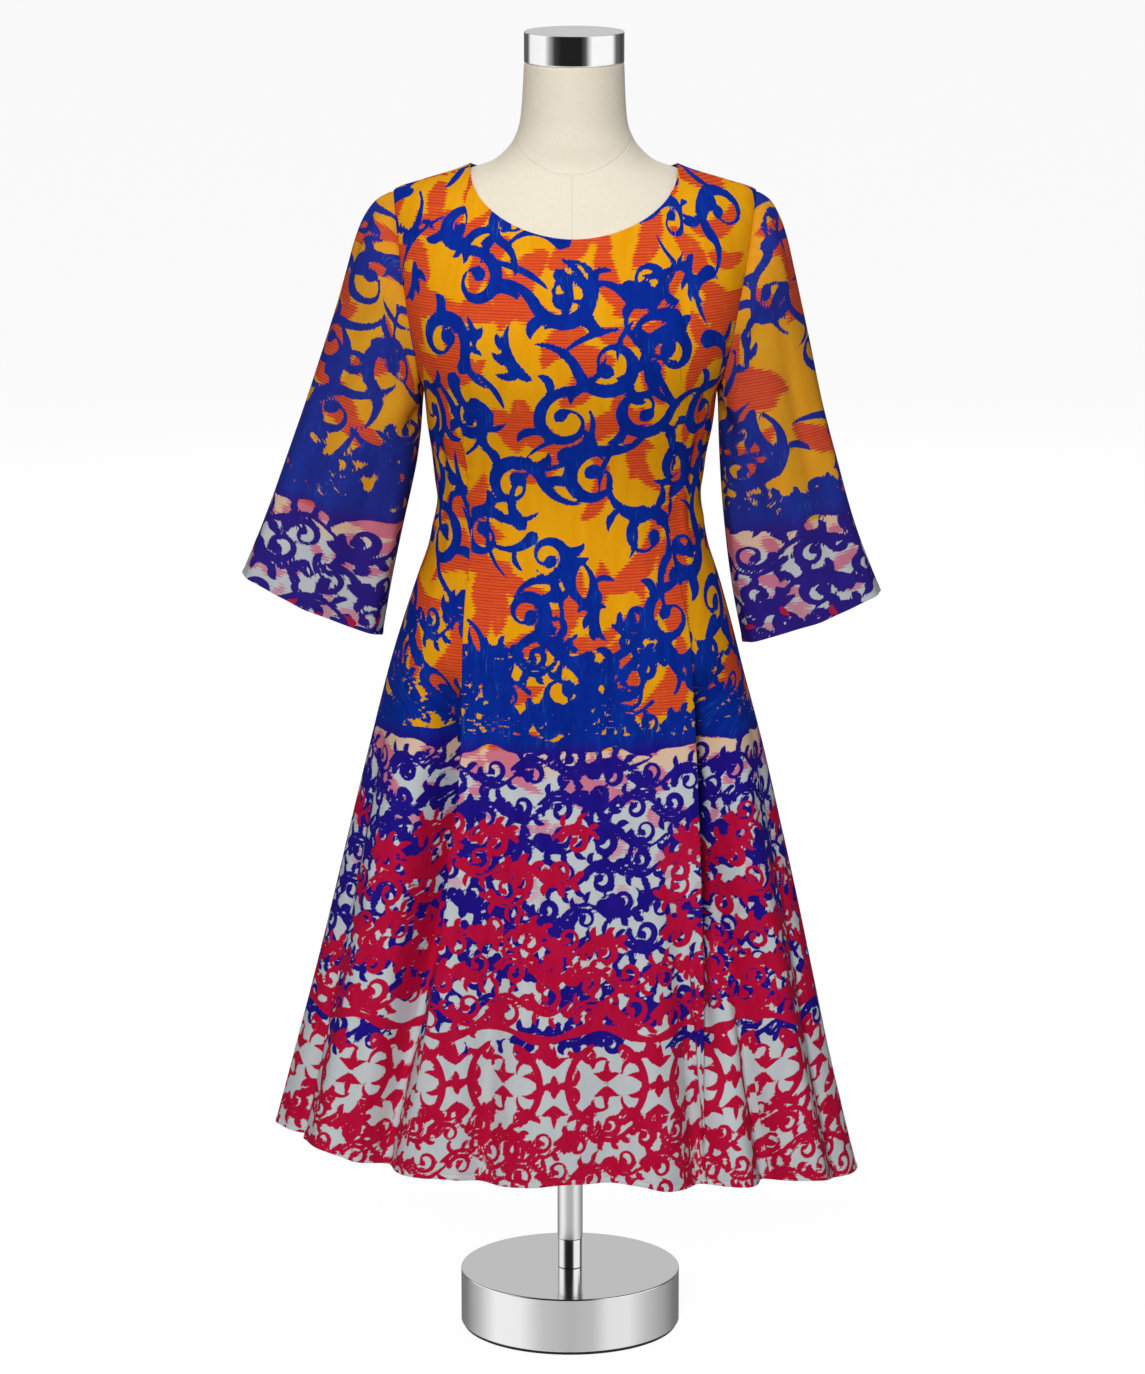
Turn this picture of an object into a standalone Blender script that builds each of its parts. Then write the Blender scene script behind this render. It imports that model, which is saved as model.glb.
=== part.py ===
"""A shift dress on a limbless dress form that stands on a pole and a round base.

Metres, +Z up. The origin is the centre of the base's underside, the dress faces -Y and its
right-hand side, as one looks at it, is +X. An angle of 0 is the front, and +90 is the +X side.
"""

import math
from collections import namedtuple

import bmesh
import bpy
from mathutils import Vector

# Driving dimensions
CLOTH_WALL = 0.0015
SEAM_GAP = 0.0003
UNDERARM_HEIGHT = 0.833
FRONT_NECK_DROP = 0.0514
BACK_NECK_DROP = 0.020
NECKLINE_SHAPE = 1.9
CHEST_EASE = 0.0017
SHOULDER_EASE = 0.0022
TIP_EASE = 0.0032
FORM_BOTTOM = 0.560
NECK_TOP = 1.1082
CAP_RADIUS = 0.0422
CAP_TOP = 1.1345
CAP_CENTRE_X = 0.0035
POLE_RADIUS = 0.0110
POLE_FOOT_RADIUS = 0.0106
POLE_FOOT_TOP = 0.0765
BASE_RADIUS = 0.0955
BASE_TOP = 0.0505
PAD_RADIUS = 0.0935
PAD_THICKNESS = 0.0025
CHROME_EDGE = 0.0012
POLE_EDGE = 0.0006

# How finely the cloth and the form are divided
COLUMN_STEP = 5
NECK_COLUMN = 55
PATH_STEPS = 80
HALVINGS = 40
HEIGHT_STEP = 0.0004
SKIRT_ROWS = 15
YOKE_ROWS = 11
SLEEVE_ROWS = 12
FORM_COLUMNS = 28
DISC_SIDES = 56
POLE_SIDES = 28

# Horizontal sections, from the lowest up: half-widths to the -X and the +X side, depths to the
# front and the back, and how square the outline is, where 2 is an ellipse.
Section = namedtuple("Section", "height left right front back square")

SHOULDERS = [
    Section(0.855, 0.1330, 0.1352, 0.1238, 0.1005, 2.6),
    Section(0.885, 0.1418, 0.1455, 0.1232, 0.1038, 2.6),
    Section(0.917, 0.1475, 0.1522, 0.1145, 0.1050, 2.5),
    Section(0.950, 0.1515, 0.1575, 0.0995, 0.1020, 2.25),
    Section(0.980, 0.1535, 0.1610, 0.0815, 0.0955, 1.9),
    Section(1.0004, 0.1493, 0.1577, 0.0690, 0.0880, 1.6),
    Section(1.0085, 0.1270, 0.1345, 0.0635, 0.0830, 1.6),
    Section(1.0173, 0.0975, 0.1045, 0.0580, 0.0765, 1.7),
    Section(1.0224, 0.0843, 0.0910, 0.0550, 0.0720, 1.8),
    Section(1.0258, 0.0725, 0.0792, 0.0532, 0.0685, 1.85),
    Section(1.0343, 0.0573, 0.0640, 0.0500, 0.0610, 1.95),
    Section(1.0427, 0.0480, 0.0545, 0.0475, 0.0545, 2.0),
    Section(1.0596, 0.0421, 0.0483, 0.0445, 0.0470, 2.0),
    Section(1.0765, 0.0404, 0.0468, 0.0435, 0.0440, 2.0),
    Section(1.1082, 0.0386, 0.0456, 0.0421, 0.0421, 2.0),
]
SHOULDER_TIP_ROW = 5
NECK_POINT_ROW = 8
NECK_FOOT_ROW = 10
DRESS = [
    Section(0.120, 0.2640, 0.2490, 0.1290, 0.1225, 2.1),
    Section(0.165, 0.2530, 0.2376, 0.1270, 0.1205, 2.1),
    Section(0.238, 0.2353, 0.2212, 0.1240, 0.1180, 2.1),
    Section(0.310, 0.2181, 0.2075, 0.1215, 0.1160, 2.1),
    Section(0.382, 0.2018, 0.1939, 0.1190, 0.1145, 2.1),
    Section(0.453, 0.1865, 0.1795, 0.1170, 0.1135, 2.1),
    Section(0.524, 0.1705, 0.1644, 0.1155, 0.1125, 2.1),
    Section(0.595, 0.1537, 0.1467, 0.1130, 0.1105, 2.15),
    Section(0.630, 0.1432, 0.1379, 0.1100, 0.1080, 2.15),
    Section(0.665, 0.1318, 0.1283, 0.1045, 0.1020, 2.15),
    Section(0.700, 0.1205, 0.1179, 0.0975, 0.0930, 2.15),
    Section(0.735, 0.1144, 0.1126, 0.0930, 0.0850, 2.15),
    Section(0.769, 0.1167, 0.1150, 0.0965, 0.0845, 2.2),
    Section(0.804, 0.1215, 0.1216, 0.1075, 0.0895, 2.35),
    Section(0.833, 0.1243, 0.1252, 0.1180, 0.0965, 2.5),
] + SHOULDERS
FORM = [
    Section(0.560, 0.1140, 0.1140, 0.0850, 0.0930, 2.2),
    Section(0.600, 0.1240, 0.1240, 0.0930, 0.1010, 2.2),
    Section(0.640, 0.1260, 0.1240, 0.0960, 0.0995, 2.2),
    Section(0.680, 0.1160, 0.1140, 0.0900, 0.0890, 2.2),
    Section(0.735, 0.1075, 0.1060, 0.0860, 0.0770, 2.15),
    Section(0.780, 0.1125, 0.1110, 0.0925, 0.0790, 2.25),
    Section(0.833, 0.1243, 0.1252, 0.1180, 0.0965, 2.5),
] + SHOULDERS

# Hem height by angle: the dress hangs lower at its +X side.
Hem = namedtuple("Hem", "angle height")

HEMLINE = [
    Hem(-180, 0.160),
    Hem(-130, 0.172),
    Hem(-90, 0.182),
    Hem(-60, 0.182),
    Hem(-46, 0.171),
    Hem(-25, 0.166),
    Hem(-13, 0.161),
    Hem(0, 0.165),
    Hem(13, 0.162),
    Hem(20, 0.157),
    Hem(50, 0.153),
    Hem(90, 0.1375),
    Hem(130, 0.147),
    Hem(180, 0.160),
]

# Soft flares of the skirt: how far each stands out (or in, below zero) at the hem, half its
# spread in degrees, and the height where it dies away.
LOWEST_HEM = 0.14
Flare = namedtuple("Flare", "angle reach spread top")

FLARES = [
    Flare(-172, 0.0070, 9, 0.56),
    Flare(-151, -0.0060, 8, 0.52),
    Flare(-128, 0.0085, 9, 0.60),
    Flare(-109, -0.0070, 8, 0.50),
    Flare(-72, -0.0060, 6, 0.56),
    Flare(-56, 0.0070, 6, 0.52),
    Flare(-44, -0.0065, 5, 0.58),
    Flare(-16, 0.0080, 8, 0.46),
    Flare(0, -0.0045, 7, 0.40),
    Flare(19, 0.0085, 8, 0.50),
    Flare(49, -0.0070, 6, 0.58),
    Flare(63, 0.0065, 6, 0.50),
    Flare(78, -0.0045, 6, 0.54),
    Flare(106, 0.0065, 8, 0.52),
    Flare(126, -0.0075, 8, 0.58),
    Flare(147, 0.0080, 9, 0.50),
    Flare(165, -0.0065, 7, 0.54),
]

# Waist darts that open into folds: the panel between them laps over the cloth outside them.
# A fold opens over a short stretch about its release height, and softens towards the hem.
TUCK_OPENS_ABOVE = 0.03
TUCK_OPENS_BELOW = 0.09
TUCK_FADE_LENGTH = 0.20
TUCK_HEM_SHARE = 0.35
LAP_SHARE = 0.45
Tuck = namedtuple("Tuck", "angle step spread release fade")

TUCKS = [
    Tuck(-35, 0.0090, 6, 0.665, 0.25),
    Tuck(35, 0.0090, 6, 0.665, 0.25),
    Tuck(-147, 0.0080, 6, 0.665, 0.25),
    Tuck(147, 0.0080, 6, 0.665, 0.25),
]

# Sleeve stations from the armhole to the cuff: the lines along its top and its underarm, and
# the depths to the front and the back.
Station = namedtuple("Station", "place top_x top_z under_x under_z front back")

LEFT_SLEEVE = [
    Station(0, 0.1493, 1.0004, 0.1247, 0.8330, 0.0490, 0.0490),
    Station(1, 0.1635, 0.9925, 0.1252, 0.8220, 0.0510, 0.0500),
    Station(2, 0.1745, 0.9775, 0.1257, 0.8110, 0.0520, 0.0505),
    Station(3, 0.1820, 0.9585, 0.1264, 0.7990, 0.0520, 0.0500),
    Station(4, 0.1885, 0.9350, 0.1277, 0.7865, 0.0510, 0.0490),
    Station(5, 0.1965, 0.9067, 0.1302, 0.7690, 0.0490, 0.0475),
    Station(6, 0.2085, 0.8690, 0.1345, 0.7480, 0.0465, 0.0455),
    Station(7, 0.2244, 0.8208, 0.1405, 0.7215, 0.0440, 0.0435),
    Station(8, 0.2405, 0.7750, 0.1465, 0.6940, 0.0420, 0.0415),
    Station(9, 0.2575, 0.7275, 0.1530, 0.6620, 0.0405, 0.0400),
    Station(10, 0.2798, 0.6717, 0.1604, 0.6183, 0.0395, 0.0390),
]
RIGHT_SLEEVE = [
    Station(0, 0.1577, 1.0004, 0.1256, 0.8330, 0.0490, 0.0490),
    Station(1, 0.1690, 0.9925, 0.1259, 0.8220, 0.0510, 0.0500),
    Station(2, 0.1775, 0.9780, 0.1260, 0.8110, 0.0520, 0.0505),
    Station(3, 0.1835, 0.9605, 0.1262, 0.7990, 0.0520, 0.0500),
    Station(4, 0.1890, 0.9370, 0.1266, 0.7865, 0.0510, 0.0490),
    Station(5, 0.1957, 0.9067, 0.1274, 0.7690, 0.0490, 0.0475),
    Station(6, 0.2040, 0.8690, 0.1288, 0.7460, 0.0465, 0.0455),
    Station(7, 0.2142, 0.8208, 0.1312, 0.7190, 0.0440, 0.0435),
    Station(8, 0.2270, 0.7720, 0.1345, 0.6890, 0.0420, 0.0415),
    Station(9, 0.2424, 0.7170, 0.1392, 0.6560, 0.0405, 0.0400),
    Station(10, 0.2653, 0.6560, 0.1475, 0.6122, 0.0395, 0.0390),
]
ARMHOLE_BOW = 0.0022
SLEEVE_GAP = 0.0005
BLEND_STATIONS = 4.0

# Where the form is inset to clear the cloth, by height: the inset grows up to the underarm,
# grows again towards the shoulders and ends at the neck.
INSET_STARTS = 0.780
YOKE_STARTS = 0.950
TIP_EASE_FULL = 0.980
SHOULDER_EASE_FULL = 1.000
INSET_FADES = 1.026
INSET_ENDS = 1.045
TIP_SHARE_POWER = 5

# Rings of the form, closer together where the shoulders turn into the neck
FORM_RINGS = [
    0.560, 0.566, 0.580, 0.610, 0.640, 0.675, 0.705, 0.735, 0.765, 0.800, 0.833,
    0.855, 0.877, 0.900, 0.925, 0.950, 0.970, 0.984, 0.9935, 1.0004, 1.0045, 1.0085, 1.0125,
    1.0160, 1.0192, 1.0224, 1.0258, 1.0300, 1.0343, 1.0427, 1.0530, 1.0765, 1.1082,
]

Colour = namedtuple("Colour", "red green blue roughness metallic")

PRINTED_CREPE = Colour(0.62, 0.22, 0.12, 0.75, 0.0)
PRINTED_CHIFFON = Colour(0.42, 0.20, 0.22, 0.80, 0.0)
FORM_COVER = Colour(0.88, 0.80, 0.68, 0.85, 0.0)
CHROME = Colour(0.80, 0.80, 0.80, 0.10, 1.0)
DARK_RUBBER = Colour(0.03, 0.03, 0.03, 0.70, 0.0)


def blend(start, end, share):
    """Mix two numbers or vectors."""
    return start + (end - start) * share


def ease(low, high, value):
    """Rise smoothly from 0 at low to 1 at high."""
    share = min(max((value - low) / (high - low), 0.0), 1.0)
    return share * share * (3.0 - 2.0 * share)


def slope_through(before, after, length_before, length_after):
    """Slope at a table row that keeps a curve through it from overshooting."""
    if before * after <= 0.0:
        return 0.0
    weight_before = 2.0 * length_after + length_before
    weight_after = length_after + 2.0 * length_before
    return (weight_before + weight_after) / (weight_before / before + weight_after / after)


def read_table(rows, place):
    """Read every column of a table at a place on its first column, along a smooth curve."""
    last = len(rows) - 2
    index = 0
    while index < last and rows[index + 1][0] < place:
        index += 1
    start = rows[index]
    end = rows[index + 1]
    length = end[0] - start[0]
    share = (place - start[0]) / length
    values = []
    for column in range(1, len(start)):
        middle = (end[column] - start[column]) / length
        slope_start = middle
        slope_end = middle
        if index > 0:
            earlier = rows[index - 1]
            length_before = start[0] - earlier[0]
            before = (start[column] - earlier[column]) / length_before
            slope_start = slope_through(before, middle, length_before, length)
        if index < last:
            later = rows[index + 2]
            length_after = later[0] - end[0]
            after = (later[column] - end[column]) / length_after
            slope_end = slope_through(middle, after, length, length_after)
        square = share * share
        cube = square * share
        values.append(
            start[column] * (2.0 * cube - 3.0 * square + 1.0)
            + slope_start * length * (cube - 2.0 * square + share)
            + end[column] * (3.0 * square - 2.0 * cube)
            + slope_end * length * (cube - square)
        )
    return type(start)(place, *values)


def depth_at(section, x, facing):
    """Y of a section's outline at x, where facing is -1 for the front and 1 for the back."""
    width = section.right if x > 0.0 else section.left
    depth = section.back if facing > 0 else section.front
    inside = max(1.0 - (abs(x) / width) ** section.square, 0.0)
    return facing * depth * inside ** (1.0 / section.square)


def on_section(section, angle):
    """Point of a section's outline in the direction of an angle in degrees."""
    sine = math.sin(math.radians(angle))
    cosine = math.cos(math.radians(angle))
    width = section.right if sine > 0.0 else section.left
    depth = section.front if cosine > 0.0 else section.back
    power = 2.0 / section.square
    x = math.copysign(width * abs(sine) ** power, sine)
    y = -math.copysign(depth * abs(cosine) ** power, cosine)
    return Vector((x, y, section.height))


def outward(table, point):
    """Unit normal of the surface that a table of sections describes, near a point on it."""
    def fullness(height):
        section = read_table(table, height)
        width = section.right if point.x > 0.0 else section.left
        depth = section.back if point.y > 0.0 else section.front
        across = abs(point.x) / width
        along = abs(point.y) / depth
        return across ** section.square + along ** section.square

    section = read_table(table, point.z)
    width = section.right if point.x > 0.0 else section.left
    depth = section.back if point.y > 0.0 else section.front
    power = section.square
    slope_x = power * (abs(point.x) / width) ** (power - 1.0) / width
    slope_y = power * (abs(point.y) / depth) ** (power - 1.0) / depth
    rise = fullness(point.z + HEIGHT_STEP) - fullness(point.z - HEIGHT_STEP)
    slope_z = rise / (2.0 * HEIGHT_STEP)
    normal = Vector((math.copysign(slope_x, point.x), math.copysign(slope_y, point.y), slope_z))
    return normal.normalized()


def turn_between(angle, centre):
    """Signed difference of two angles, from -180 to 180."""
    return (angle - centre + 180.0) % 360.0 - 180.0


def fold_reach(angle, height):
    """How far the skirt's flares and tucks move the cloth outwards at a place."""
    reach = 0.0
    for flare in FLARES:
        offset = turn_between(angle, flare.angle) / flare.spread
        growth = ease(flare.top, LOWEST_HEM, height)
        reach += flare.reach * math.exp(-offset * offset) * growth
    for tuck in TUCKS:
        toward_middle = -1.0 if abs(tuck.angle) < 90 else 1.0
        offset = turn_between(angle, tuck.angle) * math.copysign(1.0, tuck.angle) * toward_middle
        opens = ease(tuck.release + TUCK_OPENS_ABOVE, tuck.release - TUCK_OPENS_BELOW, height)
        softens = ease(LOWEST_HEM, tuck.fade + TUCK_FADE_LENGTH, height)
        depth = tuck.step * opens * blend(TUCK_HEM_SHARE, 1.0, softens)
        share = LAP_SHARE if offset > 0.0 else LAP_SHARE - 1.0
        reach += share * depth * math.exp(-((offset / tuck.spread) ** 2))
    return reach


def wall_pair(table, point, reach=0.0):
    """Outer and inner point of the cloth at a point of the surface."""
    normal = outward(table, point)
    outer = point + normal * reach
    return outer, outer - normal * CLOTH_WALL


def shoulder_height(x):
    """Height of the shoulder line at x, found on the sections by halving."""
    low = SHOULDERS[SHOULDER_TIP_ROW].height
    high = SHOULDERS[NECK_FOOT_ROW].height
    for _ in range(HALVINGS):
        middle = 0.5 * (low + high)
        section = read_table(DRESS, middle)
        width = section.right if x > 0.0 else section.left
        if width > abs(x):
            low = middle
        else:
            high = middle
    return low


def top_edge(angle, facing):
    """X and height of a panel's top edge: the neckline, then the shoulder seam."""
    side = 1.0 if angle > 0.0 else -1.0
    share = min(abs(angle) / 90.0, 1.0)
    neck = SHOULDERS[NECK_POINT_ROW]
    tip = SHOULDERS[SHOULDER_TIP_ROW]
    neck_x = neck.right if side > 0.0 else neck.left
    tip_x = tip.right if side > 0.0 else tip.left
    neck_share = NECK_COLUMN / 90.0
    if share >= neck_share:
        along = (share - neck_share) / (1.0 - neck_share)
        x = side * blend(neck_x, tip_x, along)
        return x, shoulder_height(x)
    middle = 0.5 * (neck.right - neck.left)
    drop = FRONT_NECK_DROP if facing < 0 else BACK_NECK_DROP
    turn = math.radians(90.0 * share / neck_share)
    across = math.sin(turn) ** (2.0 / NECKLINE_SHAPE)
    down = math.cos(turn) ** (2.0 / NECKLINE_SHAPE)
    x = middle + (side * neck_x - middle) * across
    return x, neck.height - drop * down


def panel_columns():
    """Angles of a panel's columns, from its -X side seam to its +X side seam."""
    return list(range(-90, 91, COLUMN_STEP))


def evenly(path, count):
    """Points at equal distances along a path, which is a function of a share from 0 to 1."""
    turns = [math.pi * step / PATH_STEPS for step in range(PATH_STEPS + 1)]
    points = [path(0.5 - 0.5 * math.cos(turn)) for turn in turns]
    lengths = [0.0]
    for before, after in zip(points, points[1:]):
        lengths.append(lengths[-1] + (after - before).length)
    chosen = [points[0]]
    index = 0
    for step in range(1, count):
        wanted = lengths[-1] * step / count
        while lengths[index + 1] < wanted:
            index += 1
        share = (wanted - lengths[index]) / (lengths[index + 1] - lengths[index])
        chosen.append(blend(points[index], points[index + 1], share))
    chosen.append(points[-1])
    return chosen


def yoke_column(angle, facing):
    """Points up a panel from the underarm level to its top edge."""
    side = 1.0 if angle > 0 else -1.0
    start = on_section(read_table(DRESS, UNDERARM_HEIGHT), angle)
    end_x, end_z = top_edge(angle, facing)
    bow = ARMHOLE_BOW * (abs(angle) / 90.0) ** 4

    def path(share):
        height = blend(UNDERARM_HEIGHT, end_z, share)
        x = blend(start.x, end_x, share) + side * bow * 4.0 * share * (1.0 - share)
        y = facing * depth_at(read_table(DRESS, height), x, facing)
        return Vector((x, facing * max(y, SEAM_GAP / 2), height))

    return evenly(path, YOKE_ROWS)


def panel_grid(facing):
    """Outer and inner points of the front (facing -1) or the back (1), row by row upwards."""
    outer_rows = []
    inner_rows = []
    for row in range(SKIRT_ROWS):
        share = row / SKIRT_ROWS
        outer_row = []
        inner_row = []
        for column in panel_columns():
            angle = column if facing < 0 else math.copysign(180.0, column) - column
            hem = read_table(HEMLINE, angle).height
            height = blend(hem, UNDERARM_HEIGHT, share)
            point = on_section(read_table(DRESS, height), angle)
            point.y = facing * max(facing * point.y, SEAM_GAP / 2)
            outer, inner = wall_pair(DRESS, point, fold_reach(angle, height))
            outer_row.append(outer)
            inner_row.append(inner)
        outer_rows.append(outer_row)
        inner_rows.append(inner_row)
    columns = [yoke_column(column, facing) for column in panel_columns()]
    for row in range(YOKE_ROWS + 1):
        pairs = [wall_pair(DRESS, column[row]) for column in columns]
        outer_rows.append([outer for outer, inner in pairs])
        inner_rows.append([inner for outer, inner in pairs])
    return outer_rows, inner_rows


def armhole_ring(side):
    """Points of the armhole seam, from the shoulder tip down the front and up the back."""
    ring = []
    for facing in (-1, 1):
        edge = yoke_column(90 * side, facing)
        if facing < 0:
            edge = edge[:0:-1]
        else:
            edge = edge[:-1]
        ring += [point + Vector((side * SLEEVE_GAP, 0.0, 0.0)) for point in edge]
    return ring


def sleeve_grid(side):
    """Outer points of a sleeve: rings from the armhole to the cuff."""
    stations = LEFT_SLEEVE if side < 0 else RIGHT_SLEEVE
    ring = armhole_ring(side)
    columns = len(ring)
    rows = []
    first = None
    for row in range(SLEEVE_ROWS + 1):
        place = (len(stations) - 1) * row / SLEEVE_ROWS
        station = read_table(stations, place)
        top = Vector((side * station.top_x, 0.0, station.top_z))
        under = Vector((side * station.under_x, 0.0, station.under_z))
        middle = (top + under) / 2
        reach = (top - under) / 2
        points = []
        for column in range(columns):
            turn = 2.0 * math.pi * column / columns
            depth = station.front if turn < math.pi else station.back
            point = middle + reach * math.cos(turn)
            point.y -= depth * math.sin(turn)
            points.append(point)
        if first is None:
            first = points
        hold = max(1.0 - place / BLEND_STATIONS, 0.0) ** 2
        rows.append([
            point + (seam - start) * hold
            for point, seam, start in zip(points, ring, first)
        ])
    return rows


def tube_inside(rows, side):
    """Inner points of a sleeve's wall, one wall thickness in from its outer rings."""
    count = len(rows[0])
    inner_rows = []
    for index, ring in enumerate(rows):
        below = rows[max(index - 1, 0)]
        above = rows[min(index + 1, len(rows) - 1)]
        inner_row = []
        for column in range(count):
            around = ring[(column + 1) % count] - ring[column - 1]
            along = above[column] - below[column]
            inward = around.cross(along).normalized() * -side
            inner_row.append(ring[column] + inward * CLOTH_WALL)
        inner_rows.append(inner_row)
    return inner_rows


def add_faces(mesh, lower, upper, flip, closed):
    """Bridge two rows of vertices with four-sided faces."""
    count = len(lower)
    for index in range(count if closed else count - 1):
        following = (index + 1) % count
        corners = [lower[index], lower[following], upper[following], upper[index]]
        if flip:
            corners.reverse()
        mesh.faces.new(corners)


def shell(name, outer_rows, inner_rows, closed, flip, colour):
    """Closed wall between an outer and an inner grid of points."""
    mesh = bmesh.new()
    outer = [[mesh.verts.new(point) for point in row] for row in outer_rows]
    inner = [[mesh.verts.new(point) for point in row] for row in inner_rows]
    for index in range(len(outer) - 1):
        add_faces(mesh, outer[index], outer[index + 1], flip, closed)
        add_faces(mesh, inner[index], inner[index + 1], not flip, closed)
    add_faces(mesh, inner[0], outer[0], flip, closed)
    add_faces(mesh, outer[-1], inner[-1], flip, closed)
    if not closed:
        for end, turned in ((0, flip), (-1, not flip)):
            outer_side = [row[end] for row in outer]
            inner_side = [row[end] for row in inner]
            add_faces(mesh, outer_side, inner_side, turned, False)
    return finish(name, mesh, colour)


def loft(name, rings, colour):
    """Closed solid through rings that run anticlockwise, from the lowest up."""
    mesh = bmesh.new()
    rows = [[mesh.verts.new(point) for point in ring] for ring in rings]
    for index in range(len(rows) - 1):
        add_faces(mesh, rows[index], rows[index + 1], False, True)
    mesh.faces.new(list(reversed(rows[0])))
    mesh.faces.new(rows[-1])
    return finish(name, mesh, colour)


def paint(piece, colour):
    """Give a piece its own material."""
    material = bpy.data.materials.new(piece.name + "_finish")
    material.use_nodes = True
    shader = material.node_tree.nodes["Principled BSDF"]
    shader.inputs["Base Color"].default_value = (colour.red, colour.green, colour.blue, 1.0)
    shader.inputs["Roughness"].default_value = colour.roughness
    shader.inputs["Metallic"].default_value = colour.metallic
    piece.data.materials.append(material)


def finish(name, mesh, colour):
    """Turn a bmesh into a named, smooth object in the dress's collection."""
    data = bpy.data.meshes.new(name)
    mesh.to_mesh(data)
    mesh.free()
    data.shade_smooth()
    data.set_sharp_from_angle(angle=math.radians(40))
    piece = bpy.data.objects.new(name, data)
    DRESS_PARTS.objects.link(piece)
    paint(piece, colour)
    return piece


def turned(name, x, profile, sides, colour):
    """Solid turned about a vertical axis from a profile of (radius, height) points."""
    rings = []
    for radius, height in profile:
        rings.append([
            Vector((
                x + radius * math.cos(2.0 * math.pi * side / sides),
                radius * math.sin(2.0 * math.pi * side / sides),
                height,
            ))
            for side in range(sides)
        ])
    return loft(name, rings, colour)


def make_dress():
    """Front and back panels, and the two sleeves."""
    for name, facing in (("dress_front", -1), ("dress_back", 1)):
        outer, inner = panel_grid(facing)
        shell(name, outer, inner, False, facing > 0, PRINTED_CREPE)
    for name, side in (("sleeve_left", -1), ("sleeve_right", 1)):
        rings = sleeve_grid(side)
        shell(name, rings, tube_inside(rings, side), True, side < 0, PRINTED_CHIFFON)


def make_form():
    """Torso and neck, a little inside the dress, and the cap on the neck."""
    rings = []
    for height in FORM_RINGS:
        shoulders = ease(YOKE_STARTS, SHOULDER_EASE_FULL, height)
        inset = CLOTH_WALL + blend(CHEST_EASE, SHOULDER_EASE, shoulders)
        inset *= ease(INSET_STARTS, UNDERARM_HEIGHT, height)
        inset *= ease(INSET_ENDS, INSET_FADES, height)
        ring = []
        for column in range(FORM_COLUMNS):
            angle = 360.0 * column / FORM_COLUMNS
            point = on_section(read_table(FORM, height), angle)
            tip_share = (abs(point.x) / LEFT_SLEEVE[0].top_x) ** TIP_SHARE_POWER
            at_tip = ease(YOKE_STARTS, TIP_EASE_FULL, height) * tip_share * TIP_EASE
            ring.append(point - outward(FORM, point) * (inset + at_tip))
        rings.append(ring)
    loft("form_body", rings, FORM_COVER)
    profile = [
        (CAP_RADIUS - POLE_EDGE, NECK_TOP + SEAM_GAP),
        (CAP_RADIUS, NECK_TOP + SEAM_GAP + POLE_EDGE),
        (CAP_RADIUS, CAP_TOP - CHROME_EDGE),
        (CAP_RADIUS - CHROME_EDGE, CAP_TOP),
    ]
    turned("form_cap", CAP_CENTRE_X, profile, POLE_SIDES, CHROME)


def make_stand():
    """Pole in two lengths, round base and the pad under it."""
    profile = [
        (POLE_RADIUS - POLE_EDGE, POLE_FOOT_TOP + SEAM_GAP),
        (POLE_RADIUS, POLE_FOOT_TOP + SEAM_GAP + POLE_EDGE),
        (POLE_RADIUS, FORM_BOTTOM - SEAM_GAP),
    ]
    turned("pole_upper", 0.0, profile, POLE_SIDES, CHROME)
    profile = [
        (POLE_FOOT_RADIUS - POLE_EDGE, BASE_TOP + SEAM_GAP),
        (POLE_FOOT_RADIUS, BASE_TOP + SEAM_GAP + POLE_EDGE),
        (POLE_FOOT_RADIUS, POLE_FOOT_TOP),
    ]
    turned("pole_lower", 0.0, profile, POLE_SIDES, CHROME)
    profile = [
        (BASE_RADIUS - CHROME_EDGE, PAD_THICKNESS + SEAM_GAP),
        (BASE_RADIUS, PAD_THICKNESS + SEAM_GAP + CHROME_EDGE),
        (BASE_RADIUS, BASE_TOP - CHROME_EDGE),
        (BASE_RADIUS - CHROME_EDGE, BASE_TOP),
    ]
    turned("base_disc", 0.0, profile, DISC_SIDES, CHROME)
    turned("base_pad", 0.0, [(PAD_RADIUS, 0.0), (PAD_RADIUS, PAD_THICKNESS)], DISC_SIDES, DARK_RUBBER)


for old in list(bpy.data.objects):
    bpy.data.objects.remove(old)
DRESS_PARTS = bpy.data.collections.new("shift_dress_on_form")
bpy.context.scene.collection.children.link(DRESS_PARTS)
make_dress()
make_form()
make_stand()
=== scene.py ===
# %% [markdown]
# A printed shift dress on a limbless dress form, as a lesson in Blender's Python.
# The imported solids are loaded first. They fix every size and place. Each cell below makes one
# piece or one finish that lies on them, in metres, with the floor at zero height. The dress
# faces -Y, and +X is to the right as one looks at its front.

# %% Load the frame
import math
from collections import namedtuple
from contextlib import contextmanager

import bpy
import numpy as np
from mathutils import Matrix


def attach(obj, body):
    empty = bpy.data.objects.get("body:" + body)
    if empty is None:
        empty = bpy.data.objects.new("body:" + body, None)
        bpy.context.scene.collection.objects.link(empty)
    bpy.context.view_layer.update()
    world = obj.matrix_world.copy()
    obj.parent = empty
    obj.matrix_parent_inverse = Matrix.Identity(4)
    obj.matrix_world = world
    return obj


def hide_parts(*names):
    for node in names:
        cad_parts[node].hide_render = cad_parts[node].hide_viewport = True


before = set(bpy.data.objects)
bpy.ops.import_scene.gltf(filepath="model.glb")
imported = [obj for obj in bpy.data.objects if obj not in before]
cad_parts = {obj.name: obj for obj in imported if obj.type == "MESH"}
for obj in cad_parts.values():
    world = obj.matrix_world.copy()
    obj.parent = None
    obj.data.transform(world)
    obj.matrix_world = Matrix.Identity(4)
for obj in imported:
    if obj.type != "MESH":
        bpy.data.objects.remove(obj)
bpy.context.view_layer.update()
print("frame:", sorted(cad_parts))

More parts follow.
